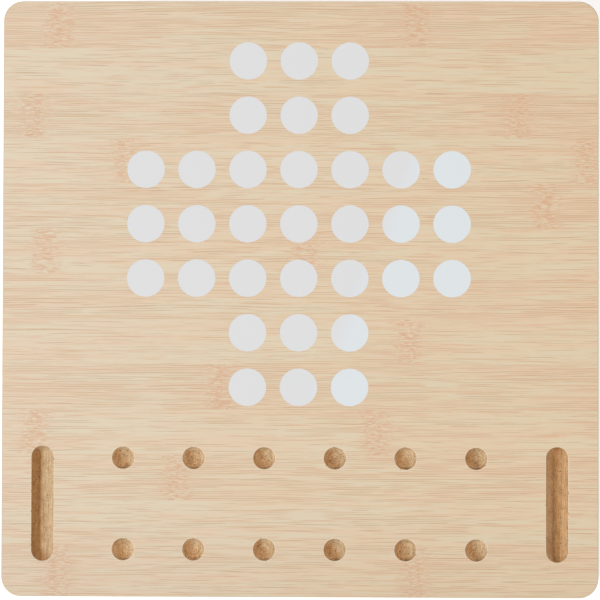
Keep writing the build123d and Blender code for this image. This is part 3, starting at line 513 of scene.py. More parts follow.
def pit_reach(x, y):
    """How far a point of the top face lies from the middle of the nearest pit, in mm."""
    half_run = PIT_COUNT * PIT_PITCH / 2
    from_pit = (x + half_run) % PIT_PITCH - PIT_PITCH / 2
    from_row = abs(y - PIT_ROW_Y) - PIT_ROW_HALF
    beyond = (abs(x) - half_run).rises(0, 0.1) * FAR
    return (from_pit * from_pit + from_row * from_row) ** 0.5 + beyond


def groove_reach(x, y):
    """How far a point of the top face lies from the middle line of the nearest groove, in mm."""
    over_end = (abs(y - PIT_ROW_Y) - GROOVE_HALF).or_more(0)
    from_groove = abs(x) - GROOVE_X
    return (from_groove * from_groove + over_end * over_end) ** 0.5


def top_foil():
    """The face's foil: deeper at the front edge, with torn paper and chips round each cut."""
    finish = foil_finish("bamboo foil face")
    x, y = finish.place()[:2]
    colour, grain = bamboo(finish, x, y, 0, on_top=True)
    front = 1 - (y / BOARD_HALF).rises(-1.05, -0.55)
    colour = finish.shade(colour, 1 - front * 0.055)
    gap = pit_reach(x, y).or_less(groove_reach(x, y)) - CUT_RADIUS
    nibbled = finish.cloud(x / 0.9, y / 0.9, 5, detail=3)
    rim = 1 - (gap + (nibbled - 0.5) * 0.5).rises(0.1, 0.4)
    colour = finish.blend(rim * 0.4, colour, settings("cut").torn)
    chipped = finish.cloud(x / 1.6, y / 1.6, 9, detail=3)
    chip = 1 - (gap + (0.66 - chipped) * 4).rises(0.1, 0.3)
    colour = finish.blend(chip * 0.8, colour, settings("cut").matted)
    satin = 0.46 + grain * 0.12
    return finish.done(colour, satin, finish.relief(grain, 0.02))


def panel_foil(name, along, seed):
    """Foil with painted shade, darker than the top's, its strips lying level and its grain along
    axis 0 or 1.
    """
    finish = foil_finish(name)
    place = finish.place()
    colour, grain = bamboo(finish, place[along], place[1 - along] + place[2], seed)
    # Painted shade over the whole panel.
    return finish, finish.tint(colour, settings("foil").painted_shade_filter), grain


def level_foil(name, seed):
    """The same foil with painted shade on a panel that lies flat."""
    finish, colour, grain = panel_foil(name, 0, seed)
    return finish.done(colour, 0.5 + grain * 0.1, finish.relief(grain, 0.02))


def bare_board(finish):
    """Bare fibreboard: matted short fibres, soft patches and a few dark specks."""
    cut = settings("cut")
    x, y, z = finish.place()
    mat = finish.lumps(0.6, 3, 0.6, 0.6)
    patch = finish.lumps(4)
    hair = finish.cloud(x / 0.3, y / 1.8, z / 0.3, 2)
    tone = mat * 0.45 + patch * 0.2 + hair * 0.35
    colour = finish.blend(1 - tone.rises(0.38, 0.6), cut.bare, cut.matted)
    speck = finish.cloud(x / 1.1, y / 1.3, z / 1.1, 1).rises(0.69, 0.74)
    return finish.blend(speck * 0.8, colour, cut.speck), mat


def core_board(name):
    """The panels' fibreboard core where it isn't routed."""
    finish = Finish(name, Specular_IOR_Level=0.2)
    colour, mat = bare_board(finish)
    return finish.done(colour, 0.82 + mat * 0.12, finish.relief(mat, 0.15))


def routed_board():
    """The routed core: strands and stripes along a groove, rings and specks in a pit.

    A groove is given painted shade where its face turns to +X, away from the key light: its colour
    turns browner there, as in shadow. The right groove has its own painted light and shade across
    its floor. In a pit the cast shadow is painted lighter, the wall facing the light paler and the
    front rim darker, and the right-hand pits are painted darker outside that shadow.
    """
    cut = settings("cut")
    finish = Finish("routed fibreboard", Specular_IOR_Level=0.2)
    x, y, z = finish.place()
    nx, ny = finish.facing()[:2]
    colour, mat = bare_board(finish)
    in_pit = abs(x) < PIT_COUNT * PIT_PITCH / 2
    strand = finish.cloud(x / 0.4, y / 7, 3, 2)
    stripe = finish.cloud(x / 1.7, y / 34, 8, 2)
    ring = finish.cloud(pit_reach(x, y) / 0.5, (x / PIT_PITCH).floor() * 2.3, y / 12, 1)
    blotch = finish.cloud(x / 1.5, y / 5, z / 1.5, 3)
    marks = strand + (ring * 0.62 + mat * 0.38 - strand) * in_pit
    swing = in_pit * 0.3 + 1
    colour = finish.shade(colour, 1 + ((marks - 0.5) * 0.64 + (blotch - 0.5) * 0.44) * swing)
    pock = finish.cloud(x / 1.2, y / 0.9, z / 1.2 + 30, 2).rises(0.64, 0.69)
    colour = finish.blend(pock * in_pit * 0.75, colour, cut.speck)
    lean = nx + ny * 0.21
    # Painted shade: the side of a cut turned away from the key light, where the colour is made
    # browner as in shadow.
    shade_side = (nx + ny * 0.4 + (stripe - 0.5) * 0.9).rises(-0.2, 0.34)
    # Painted light: the pit wall that faces the key light loses that browner colour and looks paler.
    lit_wall = 1 - (nx + ny * 0.7).rises(-0.75, 0.05)
    # The right-hand groove, which gets its own painted light and shade.
    right_groove = (x > 0) * (1 - in_pit)
    # Painted shade: a band down the groove's floor, a little left of its middle.
    trough_shade = 1 - abs(nx + (stripe - 0.5) * 0.6 - 0.04).rises(0.05, 0.6)
    groove_shade_tint = shade_side + (0.54 + trough_shade * 0.46 - shade_side) * right_groove
    # In the pits the browner colour is partly painted shade and partly the fibres' own darker spots.
    pit_shade_and_tone = shade_side * 0.22 - lit_wall * 0.85 + (0.5 - marks) * 1.5 + 0.45
    shade_and_tone_tint = groove_shade_tint + (pit_shade_and_tone - groove_shade_tint) * in_pit
    # The browner colour of painted shade, and in the pits of the darker fibres too.
    colour = finish.tint(colour, finish.blend(shade_and_tone_tint, WHITE, cut.shade_and_tone_filter))
    # Painted light and shade across the right groove: a darker trough, a lighter left wall and a
    # dark line at its left rim.
    right_groove_light_and_shade = trough_shade * 0.19 + 0.05 - nx.rises(0.15, 0.5) * 0.34 + nx.rises(0.84, 0.92) * 0.34
    track = 1 - abs(nx + 0.44 + (blotch - 0.5) * 0.06).rises(0.02, 0.06)
    # The stripes and the tool-mark track are real marks; the right groove's painted light and shade
    # is taken off here too.
    wear_and_shade = 1.04 - stripe.rises(0.45, 0.7) * 0.16 - right_groove * right_groove_light_and_shade - track * (1 - in_pit) * 0.14
    # Where the pits lie in the key light's cast shadow.
    pit_cast_shadow = lean.rises(0.12, 0.3)
    # Painted light inside that cast shadow, and painted shade on the pits' front rim.
    pit_painted_light_and_shade = pit_cast_shadow * 0.38 - ny.rises(0.68, 0.84) * 0.38 + 0.03
    # Painted shade on the right-hand pits outside that cast shadow.
    right_pit_shade = (x > 0) * (1 - pit_cast_shadow) * ny.rises(-0.35, 0) * 0.11
    # Painted light and shade, with the real stripes and marks, as one factor on the colour.
    colour = finish.shade(colour, wear_and_shade + (pit_painted_light_and_shade - right_pit_shade) * in_pit)
    height = mat * 0.5 + marks * 0.5
    return finish.done(colour, 0.8 + mat * 0.12, finish.relief(height, 0.16))


def opening(across, half_width, floor):
    """A mask of an opening's cut faces, in a wall that runs along axis across."""

    def mask(place, facing):
        inside = (abs(place[across]) < half_width) * (place[2] > floor)
        return inside * (1 - abs(facing[1 - across]).rises(0.4, 0.6))

    return mask


def seam_edge(_place, facing):
    """A mask of a wall's top and bottom edges."""
    return abs(facing[2]).rises(0.8, 0.95)


def masked_foil(name, along, seed, mask):
    """Foil with bare fibreboard where mask(place, facing) is 1: a notch, a mouth or an edge."""
    finish, colour, grain = panel_foil(name, along, seed)
    bare, mat = bare_board(finish)
    where = mask(finish.place(), finish.facing())
    colour = finish.blend(where, colour, bare)
    height = grain + (mat - grain) * where
    return finish.done(colour, 0.5 + where * 0.35, finish.relief(height, 0.04))


def band_foil(name):
    """Edge band: the same bamboo drawn along the edge, with painted shade that makes it a little
    greyer.
    """
    foil = settings("foil")
    finish = foil_finish(name)
    x, y, z = finish.place()
    nx, ny, nz = finish.facing()
    turned = abs(ny) > abs(nx)
    along = x * turned + y * (1 - turned)
    streak = finish.cloud(along / 26, z / 0.7, turned * 3, 3, 0.6)
    band = finish.cloud(along / 90, z / 3, turned * 3 + 1, 2)
    mask = (streak * 0.6 + band * 0.4).rises(0.42, 0.6)
    # Painted shade over the edge band.
    colour = finish.tint(finish.blend(mask * 0.8, foil.pale, foil.tan), foil.painted_shade_filter)
    colour = finish.blend(nz.rises(0.6, 0.9), colour, foil.band)
    return finish.done(colour, 0.5 + streak * 0.1, finish.relief(streak, 0.02))


# Solid woods

# The thickness of one ply in mm: in thin sheets, in the drawers and the divider, in the tray
THIN_PLY = 1.0
THICK_PLY = 1.2
TRAY_BASE_PLY = 0.84
TRAY_RIM_PLY = 1.34


def plywood(node, thickness=None, ply=THIN_PLY):
    """Birch plywood: a quiet rotary-cut face, and striped plies on the edges.

    Its face grain runs along its longest side. Its plies lie along its shortest one, or along
    the axis given as thickness.
    """
    wood = settings("wood")
    low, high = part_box(node)
    spans = [(high[i] - low[i]) / MM for i in range(3)]
    through = spans.index(min(spans)) if thickness is None else thickness
    along = spans.index(max(spans))
    across = 3 - through - along
    finish = Finish("plywood " + node, Specular_IOR_Level=0.3)
    place = finish.place()
    facing = finish.facing()
    seed = sum(map(ord, node)) % 53
    u, v = place[along], place[across]
    sway = finish.cloud(u / 70, v / 35, seed, 2) - 0.5
    contour = (finish.cloud(u / 190, v / 26, seed + 3, 1) * 13 + sway).sine()
    streak = finish.cloud(u / 22, (v + sway * 9) / 0.9, seed, 3, 0.6)
    figure = streak * 0.7 + contour * 0.06 + 0.15
    face = finish.blend(figure.rises(0.42, 0.66) * 0.7, wood.birch, wood.birch_line)
    layer = ((place[through] - low[through] / MM) / ply).floor()
    odd = layer % 2
    pores = finish.cloud(place[0] / 0.5, place[1] / 0.5, place[2] / 0.3, 2)
    edge = finish.blend(odd * 0.75, wood.birch, wood.glue_ply)
    edge = finish.blend(pores.rises(0.45, 0.7) * 0.4, edge, wood.birch_line)
    on_edge = 1 - abs(facing[through]).rises(0.5, 0.7)
    colour = finish.blend(on_edge, face, edge)
    return finish.done(colour, 0.55 + streak * 0.15, finish.relief(streak, 0.03))


def beech(name):
    """Beech: short dark flecks along the grain on a warm ground."""
    wood = settings("wood")
    finish = Finish(name, Specular_IOR_Level=0.3)
    x, y, z = finish.place()
    fleck = finish.cloud(x / 0.7, y / 4, z / 2.2, 2).rises(0.58, 0.72)
    drift = finish.cloud(x / 5, y / 20, z / 9, 2)
    colour = finish.blend(drift, wood.beech, wood.birch)
    colour = finish.blend(fleck * 0.6, colour, wood.glue_ply)
    return finish.done(colour, 0.6 + fleck * 0.1, finish.relief(fleck, 0.03))


def turned_wood(name, base, dark, coat, felt_bands=()):
    """Turned wood with its grain along the lying piece, and felt under its foot.

    felt_bands are the ranges of |x| in mm where a face square to X is a foot's underside.
    """
    finish = Finish(name, Coat_Weight=coat, Coat_Roughness=0.22)
    x, y, z = finish.place()
    nx = finish.facing()[0]
    sway = finish.cloud(x / 16, y / 5, z / 5, 2) - 0.5
    growth = finish.cloud(x / 40, (y + sway * 3) / 1.1, (z + sway * 3) / 1.1, 3, 0.6)
    pore = finish.cloud(x / 5, y / 0.28, z / 0.28, 1).rises(0.62, 0.74)
    colour = finish.blend(growth.rises(0.36, 0.66), base, dark)
    colour = finish.blend(pore * 0.35, colour, tuple(0.5 * c for c in dark))
    rough = 0.34 + growth * 0.12
    for low, high in felt_bands:
        under = abs(nx).rises(0.93, 0.96) * abs(x).within(low, high)
        nap = finish.lumps(0.2)
        felt = finish.shade(settings("pieces").felt, 0.6 + nap * 0.8)
        colour = finish.blend(under, colour, felt)
        rough = rough + under * 0.5
    return finish.done(colour, rough, finish.relief(growth, 0.03))


def lacquer(name, shade):
    """Gloss lacquer over turned wood: a faint orange peel and grain under the paint."""
    finish = Finish(name, Coat_Weight=0.7, Coat_Roughness=0.08, Specular_IOR_Level=0.5)
    x, y, z = finish.place()
    grain = finish.cloud(x / 18, y / 0.8, z / 0.8, 3)
    peel = finish.lumps(0.9, 1)
    colour = finish.shade(shade, 0.82 + grain * 0.34)
    return finish.done(colour, 0.26 + grain * 0.12, finish.relief(peel, 0.02))


# Top panel, walls, base

# The line on the top face past which the spots' white is cooler, in mm
SPOT_TURN_X = 34.0
SPOT_TURN_Y = 11.0
SPOT_TURN_SLOPE = 0.42
SPOT_TURN_HALF = 6.0
# The tray's mouth in the front wall, in mm
MOUTH_HALF = 136.5
MOUTH_FLOOR = 34.0
# Seeds of the foil's print, shared by a wall or rail and the drawer or tray in it
FRONT_SEED = 11
SIDE_SEEDS = {"left": 23, "right": 29}


def spot_print():
    """White print, faintly mottled, and cooler to the right of a slanting line."""
    prints = settings("print")
    finish = Finish("spot print", Coat_Weight=0.1, Coat_Roughness=0.4, Specular_IOR_Level=0.4)
    x, y = finish.place()[:2]
    mottle = finish.cloud(x / 0.6, y / 0.6, 2, 2)
    past = x - (y - SPOT_TURN_Y) * SPOT_TURN_SLOPE - SPOT_TURN_X
    white = finish.blend(past.rises(-SPOT_TURN_HALF, SPOT_TURN_HALF), prints.spot, prints.cool)
    colour = finish.shade(white, 0.985 + mottle * 0.03)
    return finish.done(colour, 0.45 + mottle * 0.1, finish.relief(mottle, 0.01))


def rubber():
    """Black rubber with a fine skin and some dust."""
    fittings = settings("fittings")
    finish = Finish("rubber", Specular_IOR_Level=0.3)
    dust = finish.lumps(2.5, 3)
    colour = finish.blend(dust.rises(0.4, 0.8), fittings.rubber, fittings.dust)
    return finish.done(colour, 0.7 + dust * 0.2, finish.relief(finish.lumps(0.25, 2), 0.05))


def zinc_plate():
    """Brushed zinc over steel, yellowed in patches."""
    fittings = settings("fittings")
    finish = Finish("zinc plated steel", Metallic=1.0)
    x, y, z = finish.place()
    brushed = finish.cloud(x / 0.15, y / 1.8, z / 0.4, 2)
    colour = finish.blend(finish.lumps(2, 2), fittings.zinc, fittings.yellowed)
    return finish.done(colour, 0.22 + brushed * 0.25, finish.relief(brushed, 0.01))


class GAMES_BOX_OT_top_panel(bpy.types.Operator):
    """Foil, routed fibreboard, edge band and printed spots"""

    bl_idname = "games_box.top_panel"
    bl_label = "Top panel"
    bl_options = {"REGISTER", "UNDO"}

    def execute(self, context):
        dress("top_face_laminate", top_foil())
        dress("top_core", routed_board())
        dress("top_inner_laminate", level_foil("bamboo foil underside", 40))
        dress("top_edge_band", band_foil("edge band top"))
        dress("solitaire_spots", spot_print())
        return {"FINISHED"}


class GAMES_BOX_OT_walls(bpy.types.Operator):
    """Foil on the walls and rails, bare board on their edges"""

    bl_idname = "games_box.walls"
    bl_label = "Walls"
    bl_options = {"REGISTER", "UNDO"}

    def execute(self, context):
        mouth = opening(0, MOUTH_HALF, MOUTH_FLOOR)
        dress("front_wall", masked_foil("bamboo foil front", 0, FRONT_SEED, mouth))
        dress("back_wall", masked_foil("bamboo foil back", 0, 17, seam_edge))
        for side, seed in SIDE_SEEDS.items():
            material = masked_foil(f"bamboo foil {side} rail", 1, seed, seam_edge)
            dress(side + "_header_rail", material)
        return {"FINISHED"}


class GAMES_BOX_OT_base(bpy.types.Operator):
    """Base panel, feet and screws"""

    bl_idname = "games_box.base"
    bl_label = "Base"
    bl_options = {"REGISTER", "UNDO"}

    def execute(self, context):
        dress("base_core", core_board("base fibreboard"))
        for node, seed in (("base_lower_laminate", 51), ("base_upper_laminate", 57)):
            dress(node, level_foil("bamboo foil " + node, seed))
        dress("base_edge_band", band_foil("edge band base"))
        dress("rubber_feet", rubber())
        dress("base_screws", zinc_plate())
        return {"FINISHED"}


class GAMES_BOX_OT_inner_frame(bpy.types.Operator):
    """Shelf, divider and dowels"""

    bl_idname = "games_box.inner_frame"
    bl_label = "Inner frame"
    bl_options = {"REGISTER", "UNDO"}

    def execute(self, context):
        dress("centre_divider", plywood("centre_divider", ply=THICK_PLY))
        dress("shelf", plywood("shelf"))
        dress("dowels", beech("beech dowels"))
        return {"FINISHED"}


# Drawers and tray

# The finger notches' half widths and the heights of their floors, in mm
DRAWER_NOTCH_HALF = 11.3
DRAWER_NOTCH_FLOOR = 21.5
TRAY_NOTCH_HALF = 16.5
TRAY_NOTCH_FLOOR = 44.0
# The cross partitions' plies lie along Y
THROUGH_Y = 1


class GAMES_BOX_OT_drawers(bpy.types.Operator):
    """The two piece drawers: foil fronts, and plywood behind them"""

    bl_idname = "games_box.drawers"
    bl_label = "Drawers"
    bl_options = {"REGISTER", "UNDO"}

    def execute(self, context):
        notch = opening(1, DRAWER_NOTCH_HALF, DRAWER_NOTCH_FLOOR)
        for side, seed in SIDE_SEEDS.items():
            material = masked_foil(f"bamboo foil {side} drawer", 1, seed, notch)
            dress(side + "_drawer_front", material)
            for part in ("back", "side_a", "side_b"):
                node = f"{side}_drawer_{part}"
                dress(node, plywood(node, ply=THICK_PLY))
            for node in (f"{side}_drawer_bottom", f"{side}_long_partition"):
                dress(node, plywood(node))
            node = f"{side}_cross_partitions"
            dress(node, plywood(node, thickness=THROUGH_Y))
        return {"FINISHED"}


class GAMES_BOX_OT_board_tray(bpy.types.Operator):
    """The tray for the boards"""

    bl_idname = "games_box.board_tray"
    bl_label = "Board tray"
    bl_options = {"REGISTER", "UNDO"}

    def execute(self, context):
        notch = opening(0, TRAY_NOTCH_HALF, TRAY_NOTCH_FLOOR)
        dress("tray_front", masked_foil("bamboo foil tray", 0, FRONT_SEED, notch))
        dress("tray_base", plywood("tray_base", ply=TRAY_BASE_PLY))
        for side in ("left", "right", "back"):
            dress(f"tray_{side}_rim", plywood(f"tray_{side}_rim", ply=TRAY_RIM_PLY))
        dress("tray_stop_cleats", beech("beech cleats"))
        return {"FINISHED"}


# Game boards: traditional patterns worked out from the distance to their lines. On a board, p
# and q are the distances from its middle, in mm.

BOARD_MIDDLE_Y = -9.0


def line(distance, half_width):
    """1 within half_width of a line, with a slightly soft edge."""
    return 1 - abs(distance).rises(half_width - 0.1, half_width + 0.1)


def either(*masks):
    """1 where any of the masks is."""
    whole = masks[0]
    for mask in masks[1:]:
        whole = whole.or_more(mask)
    return whole


def squareness(p, q):
    """Half the side of the square round the middle that a point lies on."""
    return abs(p).or_more(abs(q))


def off_step(value, step):
    """How far a value lies from the nearest multiple of a step."""
    return abs((value / step + 0.5) % 1 - 0.5) * step


def dark_print(finish, p, q):
    """Dark print with a faint grain."""
    prints = settings("print")
    grain = finish.cloud(p / 1.1, q / 24, 4, 3)
    return finish.shade(prints.walnut, 0.7 + grain * 0.6)


def chequers(finish, p, q, ground):
    """Eight by eight squares in two woods, with two lines round them."""
    cell = 28.0
    half = 4 * cell
    odd = ((p / cell).floor() + (q / cell).floor()) % 2
    ring = squareness(p, q)
    frame_lines = either(line(ring - half - 0.7, 0.7), line(ring - half - 5, 0.35))
    mask = either(odd * (ring < half), frame_lines)
    return finish.blend(mask, ground, dark_print(finish, p, q))


def morris(finish, p, q, ground):
    """Three squares inside one another, joined at the middles of their sides."""
    step = 32.0
    ring = squareness(p, q)
    squares = [line(ring - step * i, 0.8) for i in (1, 2, 3)]
    spokes = (line(p, 0.8) + line(q, 0.8)).or_less(1) * ring.within(step, 3 * step)
    near_p, near_q = off_step(p, step), off_step(q, step)
    dot = 1 - (near_p * near_p + near_q * near_q).rises(12, 14)
    on_lines = either(line(abs(p) - abs(q), 4), line(p, 4), line(q, 4))
    dot = dot * on_lines * ring.within(step - 5, 3 * step + 5)
    mask = either(*squares, spokes, dot)
    return finish.blend(mask, ground, dark_print(finish, p, q))


def backgammon(finish, p, q, ground):
    """Twenty-four long points in two colours, a bar down the middle and a frame."""
    bar = 8.0
    width = 18.0
    half = bar + 6 * width
    reach = 92.0
    out = abs(p) - bar
    index = (out / width).floor()
    from_middle = abs(out - (index + 0.5) * width)
    left_over = 1 - (half - abs(q)) / reach
    ring = squareness(p, q)
    point = (from_middle < left_over * (width / 2)) * (ring < half) * (out > 0)
    odd = (index + (q > 0) + (p > 0)) % 2
    shade = finish.blend(odd, dark_print(finish, p, q), settings("pieces").red)
    colour = finish.blend(point, ground, shade)
    frame_lines = either(line(ring - half - 0.8, 0.8), line(out, 0.6) * (ring < half))
    return finish.blend(frame_lines, colour, dark_print(finish, p, q))


def race_game(finish, p, q, ground):
    """A cross of squares for four colours, with a home in each corner."""
    pieces = settings("pieces")
    cell = 15.6
    half = 7.5 * cell
    arm = 1.5 * cell
    ring = squareness(p, q)
    inside = ring < half
    left, front = p < 0, q < 0
    near_row = finish.blend(left, pieces.blue, pieces.red)
    far_row = finish.blend(left, pieces.yellow, pieces.green)
    corner = finish.blend(front, far_row, near_row)
    upright = finish.blend(front, pieces.yellow, pieces.red)
    level = finish.blend(left, pieces.blue, pieces.green)
    lane = finish.blend(abs(q) > abs(p), level, upright)
    low = abs(p).or_less(abs(q))
    on_arm = (low < arm) * inside
    home = (1 - on_arm) * inside
    yard = squareness(abs(p) - 3 * cell - arm, abs(q) - 3 * cell - arm) < 2 * cell
    path = (low < cell / 2) * ring.within(arm, half - cell)
    centre = ring < arm
    colour = finish.blend(home * (1 - yard), ground, corner)
    colour = finish.blend(either(path, centre), colour, lane)
    gap = off_step(p + cell / 2, cell).or_less(off_step(q + cell / 2, cell))
    rules = (1 - gap.rises(0, 0.02 * cell)) * on_arm * (1 - centre)
    edges = either(line(ring - half, 0.6), rules, line(abs(p) - abs(q), 0.5) * centre)
    return finish.blend(edges, colour, dark_print(finish, p, q))


def goose_cross(finish, p, q, ground):
    """Thirty-three points in a cross, joined by straight lines."""
    step = 32.0
    low = abs(p).or_less(abs(q))
    ring = squareness(p, q)
    inside = (low < 1.5 * step) * (ring < 3.5 * step)
    near_p, near_q = off_step(p, step), off_step(q, step)
    dot = 1 - (near_p * near_p + near_q * near_q).rises(22, 26)
    reach = (low < step + 0.6) * (ring < 3 * step + 0.6)
    lines = (1 - near_p.or_less(near_q).rises(0.5, 0.7)) * reach
    return finish.blend(either(dot * inside, lines), ground, dark_print(finish, p, q))


def corner_camps(finish, p, q, ground):
    """Sixteen by sixteen ruled squares with a tinted camp in each corner."""
    cell = 14.5
    half = 8 * cell
    ring = squareness(p, q)
    gap = off_step(p, cell).or_less(off_step(q, cell))
    rules = (1 - gap.rises(0.3, 0.5)) * (ring < half + 0.4)
    steps_in = ((half - abs(p)) / cell).floor() + ((half - abs(q)) / cell).floor()
    camp = (steps_in < 4.5) * (ring < half)
    colour = finish.blend(camp * 0.6, ground, settings("pieces").green)
    return finish.blend(rules, colour, dark_print(finish, p, q))


def board_finish(node, top, underside):
    """A board of pale veneer with a game on either face and plain edges."""
    prints = settings("print")
    finish = Finish("board " + node, Coat_Weight=0.2, Coat_Roughness=0.3)
    x, y, z = finish.place()
    nz = finish.facing()[2]
    p, q = x, y - BOARD_MIDDLE_Y
    sway = finish.cloud(p / 60, q / 30, 6, 2) - 0.5
    grain = finish.cloud(p / 40, (q + sway * 8) / 1.3, 2, 3, 0.6)
    ground = finish.shade(prints.maple, 0.86 + grain * 0.28)
    face = finish.blend(nz > 0, underside(finish, p, q, ground), top(finish, p, q, ground))
    layers = finish.cloud(x / 3, y / 3, z / 0.18, 2)
    rim = finish.shade(prints.maple, 0.5 + layers * 0.5)
    colour = finish.blend(abs(nz).rises(0.5, 0.7), rim, face)
    return finish.done(colour, 0.36 + grain * 0.14, finish.relief(grain, 0.015))


# The games on each board's top and underside
GAMES = {
    "game_board_1": (race_game, corner_camps),
    "game_board_2": (backgammon, goose_cross),
    "game_board_3": (chequers, morris),
}


class GAMES_BOX_OT_game_boards(bpy.types.Operator):
    """Three boards with a game on each face"""

    bl_idname = "games_box.game_boards"
    bl_label = "Game boards"
    bl_options = {"REGISTER", "UNDO"}

    def execute(self, context):
        for node, (top, underside) in GAMES.items():
            dress(node, board_finish(node, top, underside))
        return {"FINISHED"}


# Playing pieces

# Ranges of |x| in mm where a face square to X is the underside of a chess man's foot
PAWN_FEET = (12.5, 15.5)
OFFICER_FEET = (46.5, 49.8)
# The dominoes' lowest face, one tile's thickness, and the pips' floor above a tile's underside
TILE_FLOOR = 13.5
TILE_T = 5.5
TILE_CUT_FLOOR = 5.15
# The sticks lie along Y in close-packed rows; a ring's place is its distance from the middle
STICK_MIDDLE_X = -127.5
STICK_MIDDLE_Y = 33.4
STICK_FIRST_Z = 15.1
STICK_RADIUS = 1.5
STICK_PITCH = 3.1
STICK_RISE = STICK_PITCH * math.sqrt(3) / 2
STICK_RINGS = ((62, 74), (77, 79.5))
STICK_TIP = 88
# The corner of the beads' bay and the room that each bead has
BEAD_START_X = -112.0
BEAD_START_Y = -133.4
BEAD_ROOM_X = 102 / 8
BEAD_ROOM_Y = 63.8 / 6


class GAMES_BOX_OT_chess_men_and_counters(bpy.types.Operator):
    """Turned pieces in two woods"""

    bl_idname = "games_box.chess_men_and_counters"
    bl_label = "Chess men and counters"
    bl_options = {"REGISTER", "UNDO"}

    def execute(self, context):
        pieces = settings("pieces")
        woods = {
            "light": (pieces.light, pieces.light_grain, 0.25),
            "dark": (pieces.dark, pieces.dark_grain, 0.35),
        }
        for colour, wood in woods.items():
            for kind, feet in (("pawns", PAWN_FEET), ("officers", OFFICER_FEET)):
                name = f"turned {colour} {kind}"
                dress(f"chess_{kind}_{colour}", turned_wood(name, *wood, [feet]))
            dress(f"counters_{colour}", turned_wood(f"turned {colour} counters", *wood))
        return {"FINISHED"}


def domino_lacquer():
    """Black lacquer, white where a face lies at the depth of the pips."""
    pieces = settings("pieces")
    finish = Finish("domino lacquer", Coat_Weight=0.5, Coat_Roughness=0.12)
    up = (finish.place()[2] - TILE_FLOOR) % TILE_T
    sunk = line(up - TILE_CUT_FLOOR, 0.12) * finish.facing()[2].rises(0.9, 0.95)
    wear = finish.lumps(0.8, 3)
    black = finish.shade(pieces.lacquer, 0.7 + wear * 0.6)
    white = finish.shade(pieces.pip, 0.9 + wear * 0.12)
    colour = finish.blend(sunk, black, white)
    return finish.done(colour, 0.24 + wear * 0.14 + sunk * 0.2, finish.relief(wear, 0.01))


class GAMES_BOX_OT_dominoes(bpy.types.Operator):
    """The double-six set"""

    bl_idname = "games_box.dominoes"
    bl_label = "Dominoes"
    bl_options = {"REGISTER", "UNDO"}

    def execute(self, context):
        dress("dominoes", domino_lacquer())
        return {"FINISHED"}


def dyed_sticks():
    """Natural wood with dyed rings, whose colour goes by the stick's row and column."""
    pieces = settings("pieces")
    finish = Finish("pick-up sticks", Specular_IOR_Level=0.4)
    x, y, z = finish.place()
    facing = finish.facing()
    middle_x = x - facing[0] * STICK_RADIUS - STICK_MIDDLE_X
    middle_z = z - facing[2] * STICK_RADIUS - STICK_FIRST_Z
    layer = (middle_z / STICK_RISE + 0.5).floor()
    column = (middle_x / STICK_PITCH + (layer % 2) * 0.5 + 0.5).floor()
    dyes = (
        pieces.red, pieces.yellow, pieces.green, pieces.blue, pieces.red, pieces.yellow,
        pieces.black,
    )
    dye = finish.steps(finish.chance(layer, column, 3), dyes)
    out = abs(y - STICK_MIDDLE_Y)
    rings = either(*(out.within(*ring) for ring in STICK_RINGS), out > STICK_TIP)
    grain = finish.cloud(x / 0.5, y / 12, z / 0.5, 3)
    natural = finish.shade(pieces.light, 0.86 + grain * 0.3)
    colour = finish.blend(rings * 0.93, natural, dye)
    return finish.done(colour, 0.5 + grain * 0.1, finish.relief(grain, 0.02))


class GAMES_BOX_OT_pick_up_sticks(bpy.types.Operator):
    """The bundle of sticks"""

    bl_idname = "games_box.pick_up_sticks"
    bl_label = "Pick up sticks"
    bl_options = {"REGISTER", "UNDO"}

    def execute(self, context):
        dress("pick_up_sticks", dyed_sticks())
        return {"FINISHED"}


def bead_glass():
    """Glossy glass, one colour to each bead's own room, with a milky swirl."""
    finish = Finish("glass beads", Coat_Weight=1.0, Coat_Roughness=0.04)
    x, y, z = finish.place()
    column = ((x - BEAD_START_X) / BEAD_ROOM_X).floor()
    row = ((y - BEAD_START_Y) / BEAD_ROOM_Y).floor()
    glass = finish.steps(finish.chance(column, row, 11), GLASS)
    swirl = finish.cloud(x / 2.2, y / 2.2 + column * 5, z / 2.2 + row * 3, 2, 0.5, 1.6)
    colour = finish.blend(swirl.rises(0.52, 0.62) * 0.45, glass, settings("pieces").milk)
    return finish.done(colour, 0.1 + swirl * 0.1)


class GAMES_BOX_OT_beads(bpy.types.Operator):
    """Glass beads"""

    bl_idname = "games_box.beads"
    bl_label = "Beads"
    bl_options = {"REGISTER", "UNDO"}

    def execute(self, context):
        dress("mancala_beads", bead_glass())
        return {"FINISHED"}


class GAMES_BOX_OT_pawns(bpy.types.Operator):
    """Lacquered pawns in four colours"""

    bl_idname = "games_box.pawns"
    bl_label = "Pawns"
    bl_options = {"REGISTER", "UNDO"}

    def execute(self, context):
        pieces = settings("pieces")
        for colour in ("red", "yellow", "green", "blue"):
            dress("pawns_" + colour, lacquer("lacquer " + colour, getattr(pieces, colour)))
        return {"FINISHED"}


# Dice, made anew with rounded edges and sunk pips

# Grid lines over a die's rounded edge and across its flat
EDGE_LINES = 6
FLAT_LINES = 41
DICE_PITCH = 12.4 * MM
DICE_ZIGZAG = 4.6 * MM
DICE_LEAN = math.radians(5)


def pip_places(number):
    """Where the pips of a face lie, in steps of a pip's pitch from its middle."""
    corners = [(-1, -1), (1, 1), (-1, 1), (1, -1)]
    middle = [(0, 0)] if number % 2 else []
    sides = [(-1, 0), (1, 0)] if number == 6 else []
    return np.array(middle + corners[: 2 * (number // 2)] + sides, float)[:number]


